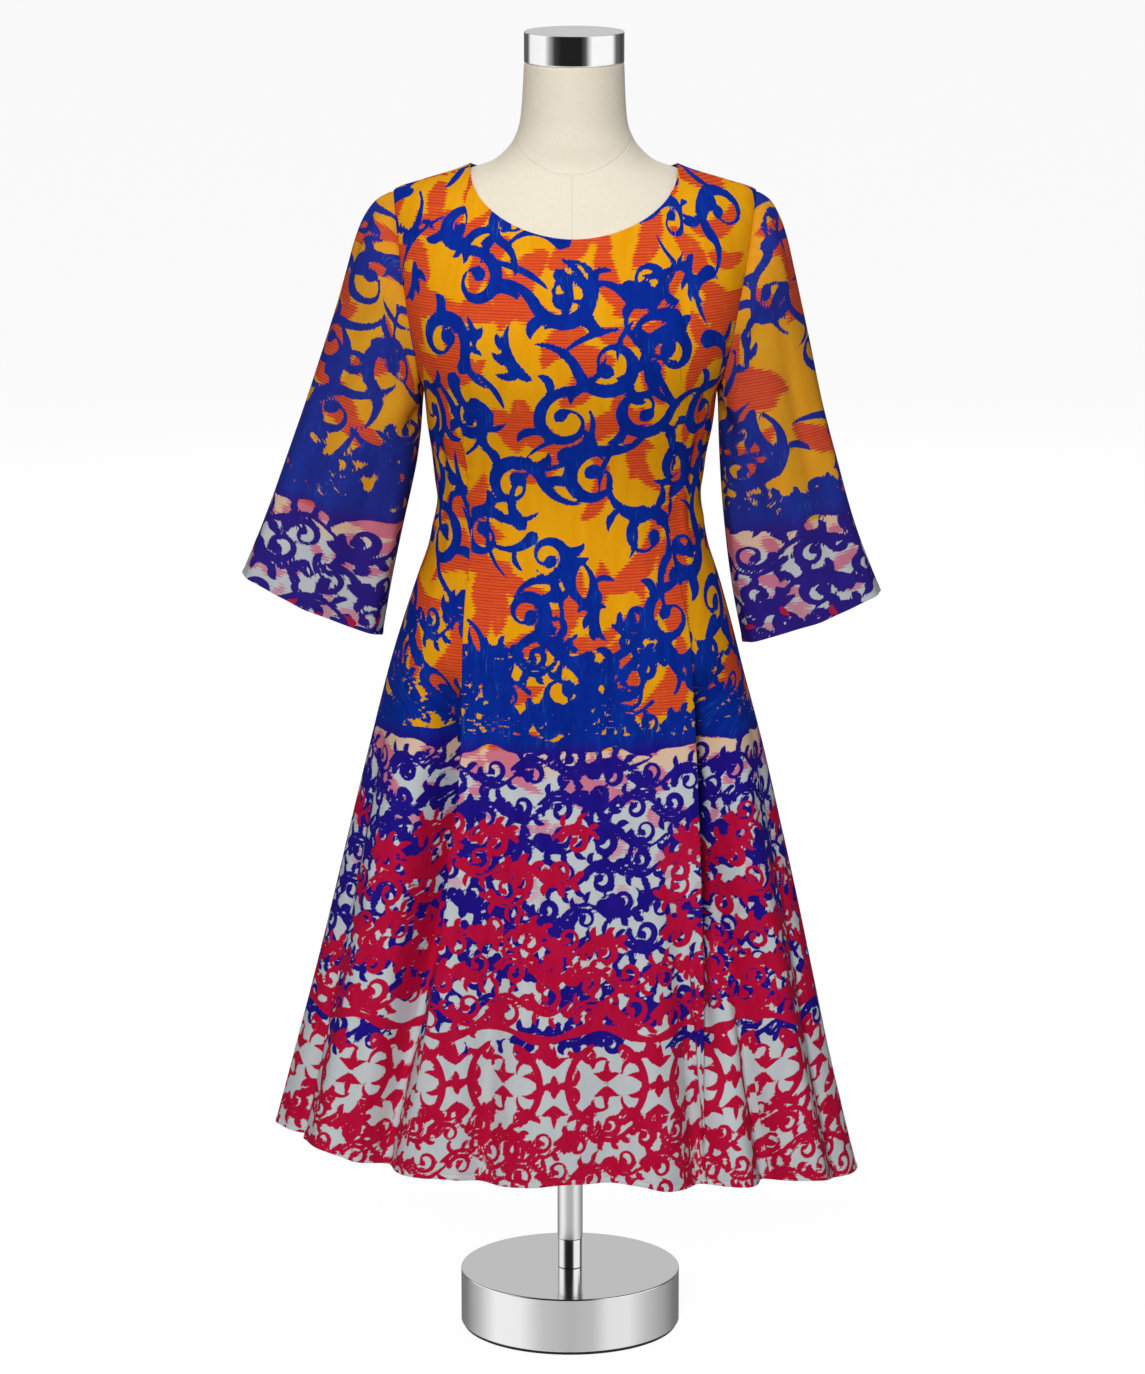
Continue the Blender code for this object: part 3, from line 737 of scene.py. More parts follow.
# %% Turned metal pieces
CAP_X = 0.0035
CAP_RADIUS = 0.0422
CAP_TOP = 1.1345
POLE_RADIUS = 0.0110
POLE_FOOT_RADIUS = 0.0106
POLE_FOOT_TOP = 0.0765
BASE_RADIUS = 0.0955
BASE_TOP = 0.0505
PAD_RADIUS = 0.0935
PAD_THICKNESS = 0.0025
PAD_THICKNESS = 0.0025
CAP_FACETS = 0.99
FLAT_EDGE = 0.25
INSET_SHARE = 0.12


def turned(name, node, x, radius, bottom, top, rim, sides=192, facets=False):
    """A cylinder between two heights, with both rims rounded, and its facets too if asked."""
    bpy.ops.object.select_all(action="DESELECT")
    bpy.ops.mesh.primitive_cylinder_add(vertices=sides, radius=radius, depth=top - bottom)
    piece = bpy.context.object
    piece.name = piece.data.name = name
    mesh = piece.data
    for vertex in mesh.vertices:
        vertex.co.x += x
        vertex.co.z += 0.5 * (top + bottom)
    ends = [[mesh.vertices[index].co.z for index in edge.vertices] for edge in mesh.edges]
    flat = FLAT_EDGE * (top - bottom)
    select_only(mesh, "EDGE", [facets or abs(a - b) < flat for a, b in ends])
    with editing():
        bpy.ops.mesh.bevel(offset=rim, segments=4, affect="EDGES")
    select_only(mesh, "FACE", [abs(face.normal.z) > CAP_FACETS for face in mesh.polygons])
    with editing():
        bpy.ops.mesh.inset(thickness=INSET_SHARE * radius, depth=0.0)
        bpy.ops.mesh.poke()
    bpy.ops.object.shade_smooth_by_angle(angle=math.radians(8))
    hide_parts(node)
    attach(piece, "root")
    return piece


cap = turned(
    "neck_cap", "form_cap", CAP_X, CAP_RADIUS, NECK_TOP + SEAM_GAP, CAP_TOP, 0.0011,
    facets=True
)
pole_upper = turned(
    "pole_tube", "pole_upper", 0.0, POLE_RADIUS, POLE_FOOT_TOP + SEAM_GAP,
    FORM_BOTTOM - SEAM_GAP, 0.0005, 96
)
pole_lower = turned(
    "pole_foot", "pole_lower", 0.0, POLE_FOOT_RADIUS, BASE_TOP + SEAM_GAP, POLE_FOOT_TOP,
    0.0004, 96
)
base = turned(
    "round_base", "base_disc", 0.0, BASE_RADIUS, PAD_THICKNESS + SEAM_GAP, BASE_TOP, 0.0011,
)
pad = turned(
    "base_foot", "base_pad", 0.0, PAD_RADIUS, 0.0, PAD_THICKNESS, 0.0005
)
print("turned pieces:", cap.name, pole_upper.name, pole_lower.name, base.name, pad.name)

# %% [markdown]
# Chrome is close to a mirror, yet a real one is never perfect: its roughness drifts a little
# where it was wiped, and brushed tube has fine lines along its length. The rubber under the base
# is dull and slightly mottled.

# %% Metal and rubber finishes


def chrome(name, shade, roughness, brushed=0.0):
    """Chrome with wiped patches, and fine lines along Z where it is brushed."""
    finish = Finish(name, tint(shade, shade, shade), roughness, 1.0)
    place = finish.place()
    patches = finish.noise(place, 28.0, 3.0)
    finish.join(finish.shader.inputs["Roughness"], patches * (0.3 * roughness) + roughness)
    if brushed:
        lines = finish.noise(finish.stretch(place, 1.0, 1.0, 0.02), 2600.0, 1.0)
        finish.relief(lines + 0.5, brushed)
    return finish.material


polished = chrome("polished_chrome", 250, 0.045)
satin = chrome("brushed_chrome", 236, 0.17, 0.000003)
base_chrome = chrome("base_chrome", 238, 0.11)
for piece, metal in (
    (cap, polished), (pole_lower, polished), (pole_upper, satin), (base, base_chrome)
):
    piece.data.materials.append(metal)
rubber = Finish("dark_rubber", tint(24, 24, 25), 0.7)
mottle = rubber.noise(rubber.place(), 160.0) + 0.5
rubber.colour(rubber.blend(mottle, tint(18, 18, 19), tint(34, 34, 35)))
pad.data.materials.append(rubber.material)

# %% [markdown]
# The skirt hangs in soft flares and in four folds that open from the waist darts. The flares
# are smooth ridges and troughs. The folds are real laps: the centre panel ends in an edge, the
# cloth runs back under it and comes out again, so the edge is crisp and casts a shadow.

# %% Flares, laps, creases and hem
Flare = namedtuple("Flare", "angle reach spread top")
FLARES = [
    Flare(-172, 0.0120, 8, 0.60),
    Flare(-151, -0.0160, 6, 0.58),
    Flare(-130, 0.0120, 8, 0.63),
    Flare(-110, -0.0140, 6, 0.58),
    Flare(-90, 0.0080, 7, 0.60),
    Flare(-74, -0.0140, 4.5, 0.62),
    Flare(-58, 0.0100, 5.5, 0.62),
    Flare(-41, -0.0260, 4.2, 0.62),
    Flare(-29, 0.0070, 4, 0.50),
    Flare(-17, -0.0160, 3.6, 0.52),
    Flare(-5, 0.0070, 5, 0.44),
    Flare(8, -0.0080, 4, 0.40),
    Flare(18, 0.0080, 4.5, 0.46),
    Flare(28, -0.0200, 3.6, 0.48),
    Flare(37, 0.0090, 4, 0.50),
    Flare(47, -0.0260, 4.0, 0.62),
    Flare(61, 0.0100, 5, 0.60),
    Flare(77, -0.0130, 4.5, 0.60),
    Flare(91, 0.0070, 6, 0.58),
    Flare(108, -0.0140, 6, 0.56),
    Flare(127, 0.0120, 8, 0.62),
    Flare(147, -0.0160, 7, 0.54),
    Flare(166, 0.0100, 7, 0.58),
]
FULL_FLARE = 0.20
FLARE_GROWTH = 1.1

# Columns: height, angle of the -X fold, angle of the +X fold, lap, lift, dart intake
FRONT_LAPS = np.array([
    (0.140, -34.0, 30.0, 0.0000, 0.0000, 0.000),
    (0.200, -33.5, 30.2, 0.0012, 0.0012, 0.002),
    (0.300, -32.0, 31.8, 0.0070, 0.0060, 0.006),
    (0.400, -30.8, 34.0, 0.0120, 0.0095, 0.009),
    (0.480, -30.6, 36.6, 0.0132, 0.0112, 0.010),
    (0.560, -32.2, 40.0, 0.0122, 0.0112, 0.011),
    (0.600, -34.3, 42.2, 0.0105, 0.0100, 0.012),
    (0.640, -37.6, 44.7, 0.0078, 0.0076, 0.014),
    (0.677, -41.3, 45.6, 0.0030, 0.0030, 0.017),
    (0.705, -43.3, 46.0, 0.0000, 0.0000, 0.019),
    (0.750, -46.0, 46.3, 0.0000, 0.0000, 0.020),
    (0.800, -45.0, 44.5, 0.0000, 0.0000, 0.009),
    (0.837, -43.8, 43.2, 0.0000, 0.0000, 0.000),
    (1.060, -43.8, 43.2, 0.0000, 0.0000, 0.000),
])
BACK_LAPS = np.array([
    (0.140, -36.0, 34.0, 0.0000, 0.0000, 0.000),
    (0.220, -35.3, 33.3, 0.0012, 0.0014, 0.002),
    (0.340, -34.3, 32.3, 0.0080, 0.0070, 0.006),
    (0.480, -33.0, 33.0, 0.0125, 0.0100, 0.009),
    (0.560, -33.6, 34.6, 0.0115, 0.0100, 0.011),
    (0.600, -34.3, 35.3, 0.0095, 0.0085, 0.012),
    (0.640, -35.5, 36.5, 0.0070, 0.0060, 0.014),
    (0.680, -37.0, 38.0, 0.0025, 0.0022, 0.017),
    (0.705, -38.0, 39.0, 0.0000, 0.0000, 0.019),
    (0.750, -39.0, 40.0, 0.0000, 0.0000, 0.022),
    (0.810, -38.0, 39.0, 0.0000, 0.0000, 0.010),
    (0.870, -37.0, 38.0, 0.0000, 0.0000, 0.000),
    (1.060, -37.0, 38.0, 0.0000, 0.0000, 0.000),
])

# Columns: angle, height of the hem
HEMLINE = np.array([
    (-180, 0.1600), (-130, 0.1720), (-90, 0.1820), (-74, 0.1825), (-60, 0.1810), (-52, 0.1765),
    (-46, 0.1710), (-36, 0.1675), (-25, 0.1660), (-13, 0.1610), (0, 0.1645), (13, 0.1620),
    (20, 0.1570), (34, 0.1560), (50, 0.1530), (70, 0.1450), (90, 0.1375), (130, 0.1470),
    (180, 0.1600),
])

# Creases stand out by this much more than their rows say
CREASE_DEPTH = 1.6

# Small creases. Columns: angle, height, half length, half width in degrees, lean in degrees a
# metre, depth
CREASES = np.array([
    (-84, 0.735, 0.012, 9.0, 0.0, -0.0010),
    (-80, 0.715, 0.009, 8.0, 0.0, 0.0009),
    (-82, 0.695, 0.013, 10.0, 0.0, -0.0009),
    (83, 0.742, 0.012, 9.0, 0.0, -0.0010),
    (80, 0.722, 0.009, 8.0, 0.0, 0.0009),
    (82, 0.700, 0.013, 10.0, 0.0, -0.0010),
    (-64, 0.790, 0.050, 3.2, 60.0, -0.0012),
    (62, 0.795, 0.050, 3.2, -55.0, -0.0012),
    (-58, 0.720, 0.060, 3.0, 20.0, 0.0010),
    (57, 0.715, 0.060, 3.0, -20.0, 0.0010),
    (-20, 0.700, 0.090, 3.6, 10.0, -0.0008),
    (14, 0.690, 0.100, 3.8, -8.0, -0.0008),
    (30, 0.640, 0.080, 3.0, 0.0, 0.0010),
    (-27, 0.620, 0.080, 3.0, 0.0, 0.0010),
    (-50, 0.905, 0.030, 5.0, 160.0, -0.0014),
    (50, 0.905, 0.030, 5.0, -160.0, -0.0014),
    (-104, 0.742, 0.012, 10.0, 0.0, -0.0010),
    (104, 0.745, 0.012, 10.0, 0.0, -0.0010),
    (-150, 0.760, 0.014, 14.0, 0.0, -0.0014),
    (150, 0.752, 0.014, 14.0, 0.0, -0.0013),
    (178, 0.735, 0.011, 16.0, 0.0, -0.0014),
    (-165, 0.715, 0.010, 12.0, 0.0, 0.0011),
    (166, 0.712, 0.010, 12.0, 0.0, 0.0011),
    (-128, 0.900, 0.040, 5.0, 120.0, -0.0015),
    (128, 0.900, 0.040, 5.0, -120.0, -0.0015),
])


def turn_between(angle, centre):
    """Signed difference of two angles, from -180 to 180."""
    return (angle - centre + 180.0) % 360.0 - 180.0


def flare_reach(angles, heights):
    """How far the soft flares and small creases move the cloth outwards."""
    reach = np.zeros_like(heights)
    for flare in FLARES:
        offset = turn_between(angles, flare.angle) / flare.spread
        grown = np.clip((flare.top - heights) / (flare.top - FULL_FLARE), 0.0, 1.0) ** FLARE_GROWTH
        reach += flare.reach * np.exp(-offset * offset) * grown
    for angle, height, length, spread, lean, depth in CREASES:
        centre = angle + lean * (heights - height)
        offset = turn_between(angles, centre) / spread
        along = (heights - height) / length
        reach += CREASE_DEPTH * depth * np.exp(-offset * offset - along * along)
    return reach


print("flares:", len(FLARES), "creases:", len(CREASES))

# %% [markdown]
# A panel's columns run from side seam to side seam. Most follow the sections evenly. Ten of
# them sit at each dart: above the waist they are stitched together in a thin line, and below it
# they open into the lap. Rows follow the hem below, and the neckline and shoulder above.

# %% Rows and columns of a panel
ARM_COLUMNS = 38
DART_COLUMNS = 31
LAP_COLUMNS = 10
CENTRE_COLUMNS = 116
SKIRT_ROWS = 246
YOKE_ROWS = 66
NECK_ANGLE = 55.0
HEM_ROWS = np.array([0.0, 0.0010, 0.0030, 0.0042, 0.0046, 0.0050, 0.0060, 0.0080])
SIDE_COLUMNS = ARM_COLUMNS + DART_COLUMNS
MIDDLE_COLUMN = SIDE_COLUMNS + LAP_COLUMNS + CENTRE_COLUMNS // 2

SHOULDER_TOP = 1.0343
SHOULDER_STEPS = 400
PATH_STEPS = 160

def panel_angles(heights, laps):
    """Angle of every column at each of these heights."""
    folds = read_table(laps, heights)[:2]
    arm = np.linspace(90.0, NECK_ANGLE, ARM_COLUMNS + 1)[:-1]
    toward_dart = np.linspace(0.0, 1.0, DART_COLUMNS + 1)[:-1]
    centre = np.linspace(0.0, 1.0, CENTRE_COLUMNS + 2)[1:-1]
    rows = []
    for low, high in zip(*folds):
        rows.append(np.concatenate((
            -arm,
            -NECK_ANGLE + (low + NECK_ANGLE) * toward_dart,
            np.full(LAP_COLUMNS, low),
            low + (high - low) * centre,
            np.full(LAP_COLUMNS, high),
            (NECK_ANGLE + (high - NECK_ANGLE) * toward_dart)[::-1],
            arm[::-1],
        )))
    return np.array(rows)


def shoulder_height(x):
    """Height of the shoulder line at x."""
    heights = np.linspace(TIP_HEIGHT, SHOULDER_TOP, SHOULDER_STEPS)
    left, right = read_table(DRESS, heights)[:2]
    on_left = np.interp(-np.abs(x), -left, heights)
    on_right = np.interp(-np.abs(x), -right, heights)
    return np.where(x > 0, on_right, on_left)


def top_edge(angles, facing):
    """X and height of a panel's top edge: the neckline, then the shoulder seam."""
    side = np.sign(angles)
    share = np.minimum(np.abs(angles) / 90.0, 1.0)
    neck_x = np.where(side > 0, NECK_RIGHT, NECK_LEFT)
    tip_x = np.where(side > 0, TIP_RIGHT, TIP_LEFT)
    along = np.clip((share - NECK_SHARE) / (1.0 - NECK_SHARE), 0.0, 1.0)
    shoulder_x = side * (neck_x + (tip_x - neck_x) * along)
    middle = 0.5 * (NECK_RIGHT - NECK_LEFT)
    turn = np.minimum(share / NECK_SHARE, 1.0) * math.pi / 2
    drop = FRONT_NECK_DROP if facing < 0 else BACK_NECK_DROP
    scoop_x = middle + (side * neck_x - middle) * np.sin(turn) ** (2 / NECKLINE_SHAPE)
    scoop_z = NECK_POINT_HEIGHT - drop * np.maximum(np.cos(turn), 0.0) ** (2 / NECKLINE_SHAPE)
    on_shoulder = share >= NECK_SHARE
    return (
        np.where(on_shoulder, shoulder_x, scoop_x),
        np.where(on_shoulder, shoulder_height(shoulder_x), scoop_z),
    )


def evenly(points, count):
    """Resample paths points[step, column] to count + 1 points at equal distances."""
    steps = np.linalg.norm(np.diff(points, axis=0), axis=-1)
    lengths = np.concatenate((np.zeros((1, points.shape[1])), np.cumsum(steps, axis=0)))
    chosen = np.empty((count + 1, points.shape[1], 3))
    for column, run in enumerate(lengths.T):
        wanted = np.linspace(0.0, run[-1], count + 1)
        for axis in range(3):
            chosen[:, column, axis] = np.interp(wanted, run, points[:, column, axis])
    return chosen


def round_angles(angles, facing):
    """A panel's own angles turned into angles round the whole dress."""
    return angles if facing < 0 else np.where(angles < 0, -180.0, 180.0) - angles


def yoke_points(angles, facing):
    """Points up a panel from the underarm level to its top edge."""
    level = np.full(angles.shape, UNDERARM_HEIGHT)
    start = on_section(DRESS, level, round_angles(angles, facing))
    end_x, end_z = top_edge(angles, facing)
    share = 0.5 - 0.5 * np.cos(np.linspace(0.0, math.pi, PATH_STEPS))[:, None]
    bow = ARMHOLE_BOW * (np.abs(angles) / 90.0) ** 4
    heights = UNDERARM_HEIGHT + (end_z - UNDERARM_HEIGHT) * share
    x = start[:, 0] + (end_x - start[:, 0]) * share
    x = x + np.sign(angles) * bow * 4 * share * (1 - share)
    y = depth_at(DRESS, heights, x, facing)
    y = facing * np.maximum(facing * y, SEAM_GAP / 2)
    return evenly(np.stack((x, y, heights), -1), YOKE_ROWS)


# %% [markdown]
# Now a panel is put together. Its base points lie on the sections. Flares and creases move them
# Now a panel is put together. Its base points lie on the sections. Flares and creases move them
# outwards, the laps slide the ten columns under the centre panel, the darts pucker a little,
# and the hem is turned up, so it is thicker below its line of stitches.

# %% Points of a panel
MEAN_HEM = 0.165
SKIRT_START = 0.0105
SKIRT_END = 0.668
HEM_DEPTH = 0.0046
HEM_THICKNESS = 0.0004
HEM_SOFTNESS = 0.0006
STITCH_SINK = 0.0003
STITCH_WIDTH = 0.0005
RIPPLE = 0.0008
RIPPLE_HEIGHT = 0.022
DART_FOOT = 0.685, 0.712
DART_TOP = 0.840, 0.815
DART_HALF_WIDTH = 0.0006
DART_SINK = 0.0010
PUCKER_DEPTH = 0.0004
PUCKER_PITCH = 0.012
PUCKER_WIDTH = 0.005
SEAM_SINK = 0.0005
SEAM_WIDTH = 0.0022

# The lap seen from above: how far it runs back under the centre panel, and how high it stands
LAP_UNDER = np.array([0.0, 0.03, 0.03, 0.0, -0.40, -0.95, -1.0, -0.95, -0.40, 0.0])
LAP_HEIGHT = np.array([1.0, 0.97, 0.90, 0.76, 0.62, 0.50, 0.34, 0.16, 0.05, 0.0])
TOP_SHARE = 0.55
TOP_SPREAD = 0.022
SIDE_SPREAD = 0.018

# The trough beside a lap, where the cloth falls in before it swings out again
TROUGH_DEPTH = 0.041
TROUGH_PLACE = 0.0185
TROUGH_WIDTH = 0.0135
TROUGH_FADES = 0.612, 0.548
FULL_LAP = 0.0132


def bell(distance, width):
    """A smooth bump: 1 at no distance, near 0 beyond two widths."""
    return np.exp(-((distance / width) ** 2))


def hem_reach(from_edge, thickness):
    """How far a turned-up hem and its line of stitches move the cloth outwards."""
    turned_up = 1.0 - ease(HEM_DEPTH - HEM_SOFTNESS, HEM_DEPTH + HEM_SOFTNESS, from_edge)
    return thickness * turned_up - STITCH_SINK * bell(from_edge - HEM_DEPTH, STITCH_WIDTH)


def panel_points(facing):
    """Points of a panel's outside and their places on the flat cloth, hem distance included."""
    laps = FRONT_LAPS if facing < 0 else BACK_LAPS
    climb = np.linspace(0.0, 1.0, SKIRT_ROWS)[:, None]
    skirt_rows = SKIRT_START + (SKIRT_END - SKIRT_START) * climb[:, 0]
    angles = panel_angles(MEAN_HEM + np.concatenate((HEM_ROWS, skirt_rows)), laps)
    turned_angles = round_angles(angles, facing)
    hem = read_table(HEMLINE, turned_angles)[0]
    skirt_z = hem[len(HEM_ROWS):] + SKIRT_START
    skirt_z = skirt_z + (UNDERARM_HEIGHT - skirt_z) * climb
    heights = np.concatenate((hem[: len(HEM_ROWS)] + HEM_ROWS[:, None], skirt_z))
    skirt = on_section(DRESS, heights, turned_angles)
    skirt[..., 1] = facing * np.maximum(facing * skirt[..., 1], SEAM_GAP / 2)
    yoke = yoke_points(angles[-1], facing)[1:]
    points = np.concatenate((skirt, yoke))
    with_yoke = np.append(np.arange(len(hem)), np.full(YOKE_ROWS, -1))
    turned_angles = turned_angles[with_yoke]
    z = points[..., 2]
    from_hem = z - hem[with_yoke]

    normal = outward(DRESS, points)
    along = -facing * np.cross((0.0, 0.0, 1.0), normal)
    along /= np.linalg.norm(along, axis=-1, keepdims=True)
    reach = flare_reach(turned_angles, z)
    slide = np.zeros_like(reach)
    taken_in = np.zeros_like(reach)
    step = np.arange(LAP_COLUMNS)
    for side, first in ((-1, SIDE_COLUMNS), (1, SIDE_COLUMNS + LAP_COLUMNS + CENTRE_COLUMNS)):
        strip = slice(first, first + LAP_COLUMNS)
        order = step if side > 0 else step[::-1]
        row_z = z[:, first]
        lap, lift, intake = (column[:, None] for column in read_table(laps, row_z)[2:])
        dart = (ease(*DART_FOOT, row_z) * ease(*DART_TOP, row_z))[:, None]
        distance = side * (points[..., 0] - points[:, first, 0][:, None])
        on_centre = bell(distance, TOP_SPREAD) * (distance < 0)
        on_side = bell(distance, SIDE_SPREAD) * (distance > 0)
        reach += lift * (TOP_SHARE * on_centre + (TOP_SHARE - 1.0) * on_side)
        fall = TROUGH_DEPTH * (lap / FULL_LAP) * ease(*TROUGH_FADES, row_z)[:, None]
        reach -= fall * bell(distance - TROUGH_PLACE, TROUGH_WIDTH) * (distance > 0)
        height = LAP_HEIGHT[order]
        reach[:, strip] += (height + TOP_SHARE - 1.0) * lift
        reach[:, strip] -= (1.0 - height) * fall * bell(TROUGH_PLACE, TROUGH_WIDTH)
        reach[:, strip] -= DART_SINK * np.sin(math.pi * order / (LAP_COLUMNS - 1)) * dart
        half_width = DART_HALF_WIDTH * (2.0 * order / (LAP_COLUMNS - 1) - 1.0)
        slide[:, strip] = side * (LAP_UNDER[order] * lap + half_width)
        taken_in[:, strip] += np.maximum(intake - 2.0 * lap, 0.0) / LAP_COLUMNS
        pucker = PUCKER_DEPTH * dart * np.sin(z * (2 * math.pi / PUCKER_PITCH))
        reach += pucker * bell(distance, PUCKER_WIDTH)
    reach += hem_reach(from_hem, HEM_THICKNESS)
    round_dress = np.radians(turned_angles)
    wave = np.sin(round_dress * 31.0 + 1.3 * np.sin(round_dress * 9.0))
    reach += RIPPLE * wave * np.exp(-from_hem / RIPPLE_HEIGHT)
    from_side = np.minimum(
        np.linalg.norm(points - points[:, :1], axis=-1),
        np.linalg.norm(points - points[:, -1:], axis=-1),
    )
    from_top = np.linalg.norm(points - points[-1:], axis=-1)
    shoulder_seam = (np.abs(angles[-1]) >= NECK_ANGLE) * bell(from_top, SEAM_WIDTH)
    reach -= SEAM_SINK * np.maximum(shoulder_seam, bell(from_side, SEAM_WIDTH))

    moved = points + normal * reach[..., None] + along * slide[..., None]
    steps = np.linalg.norm(np.diff(moved[..., :2], axis=1), axis=-1) + taken_in[:, 1:]
    run = np.concatenate((np.zeros((len(steps), 1)), np.cumsum(steps, axis=1)), axis=1)
    run -= run[:, MIDDLE_COLUMN][:, None] - points[:, MIDDLE_COLUMN, 0][:, None]
    flat = np.stack((run, cloth_height(z), from_hem), -1)
    return moved, flat


panels = {}
for name, facing in (("dress_front", -1), ("dress_back", 1)):
    panels[name] = panel_points(facing)
    moved, flat = panels[name]
    wide, area = float(flat[0, -1, 0] - flat[0, 0, 0]), flat_area(flat)
    print(name, moved.shape, "hem", round(wide, 3), "area", round(area, 3))

# %% [markdown]
# The sleeves are set into the armholes, so each one starts from the very ring of points in which
# the front and the back end. From there it swells over the shoulder, hangs away from the body
# and widens to an open cuff. Its folds are few and long, because the cloth is light.

# %% Stations of the sleeves
# Columns: place from the armhole to the cuff, x and height of the top line, x and height of the
# underarm line, depth to the front and to the back
LEFT_SLEEVE = np.array([
    (0, 0.1493, 1.0004, 0.1247, 0.8330, 0.0490, 0.0490),
    (1, 0.1635, 0.9925, 0.1252, 0.8220, 0.0510, 0.0500),
    (2, 0.1745, 0.9775, 0.1257, 0.8110, 0.0520, 0.0505),
    (3, 0.1820, 0.9585, 0.1264, 0.7990, 0.0520, 0.0500),
    (4, 0.1885, 0.9350, 0.1277, 0.7865, 0.0510, 0.0490),
    (5, 0.1965, 0.9067, 0.1302, 0.7690, 0.0490, 0.0475),
    (6, 0.2085, 0.8690, 0.1345, 0.7480, 0.0465, 0.0455),
    (7, 0.2244, 0.8208, 0.1405, 0.7215, 0.0440, 0.0435),
    (8, 0.2405, 0.7750, 0.1465, 0.6940, 0.0420, 0.0415),
    (9, 0.2575, 0.7275, 0.1530, 0.6620, 0.0405, 0.0400),
    (10, 0.2798, 0.6717, 0.1604, 0.6183, 0.0395, 0.0390),
])
RIGHT_SLEEVE = np.array([
    (0, 0.1577, 1.0004, 0.1256, 0.8330, 0.0490, 0.0490),
    (1, 0.1690, 0.9925, 0.1259, 0.8220, 0.0510, 0.0500),
    (2, 0.1775, 0.9780, 0.1260, 0.8110, 0.0520, 0.0505),
    (3, 0.1835, 0.9605, 0.1262, 0.7990, 0.0520, 0.0500),
    (4, 0.1890, 0.9370, 0.1266, 0.7865, 0.0510, 0.0490),
    (5, 0.1957, 0.9067, 0.1274, 0.7690, 0.0490, 0.0475),
    (6, 0.2040, 0.8690, 0.1288, 0.7460, 0.0465, 0.0455),
    (7, 0.2142, 0.8208, 0.1312, 0.7190, 0.0440, 0.0435),
    (8, 0.2270, 0.7720, 0.1345, 0.6890, 0.0420, 0.0415),
    (9, 0.2424, 0.7170, 0.1392, 0.6560, 0.0405, 0.0400),
    (10, 0.2653, 0.6560, 0.1475, 0.6122, 0.0395, 0.0390),
])
SLEEVE_ROWS = 156
SLEEVE_TUCK = 0.0006
BLEND_STATIONS = 4.0
SLEEVE_END = 9.72
STATION_LENGTH = 0.035
CUFF_THICKNESS = 0.00032
SLEEVE_RIPPLE = 0.0006
SLEEVE_RIPPLE_HEIGHT = 0.020
HEAD_PLACE = 0.011
HEAD_WIDTH = 0.010
HEAD_GATHER = 0.0006
FOLDS_START = 0.03

# Sleeve folds are this much deeper than their rows say
SLEEVE_FOLD_DEPTH = 1.5

# Sleeve folds. Columns: turn in degrees (0 top, 90 front, 180 underarm), place, half turn, half
# length in places, lean in degrees a place, depth
SLEEVE_FOLDS = np.array([
    (16, 1.9, 7, 1.5, 3.0, -0.0022),
    (40, 2.2, 9, 1.7, -2.0, 0.0016),
    (-18, 1.8, 8, 1.4, -3.0, -0.0020),
    (-45, 2.1, 9, 1.7, 2.0, 0.0016),
    (75, 3.4, 12, 1.6, -7.0, -0.0022),
    (120, 4.2, 11, 1.6, -9.0, 0.0026),
    (148, 3.1, 9, 1.3, -10.0, -0.0030),
    (-80, 3.6, 12, 1.7, 7.0, -0.0022),
    (-125, 4.3, 11, 1.6, 9.0, 0.0026),
    (-150, 3.2, 9, 1.3, 10.0, -0.0030),
    (55, 7.2, 11, 2.4, 0.0, -0.0030),
    (84, 8.4, 11, 2.6, 0.0, 0.0028),
    (112, 8.0, 10, 2.6, 0.0, -0.0026),
    (145, 8.8, 11, 2.4, 0.0, 0.0024),
    (24, 8.6, 10, 2.2, 0.0, 0.0022),
    (-40, 7.6, 12, 2.6, 0.0, -0.0032),
    (-76, 8.4, 12, 2.6, 0.0, 0.0030),
    (-112, 8.0, 12, 2.6, 0.0, -0.0030),
    (-148, 8.6, 11, 2.4, 0.0, 0.0026),
])


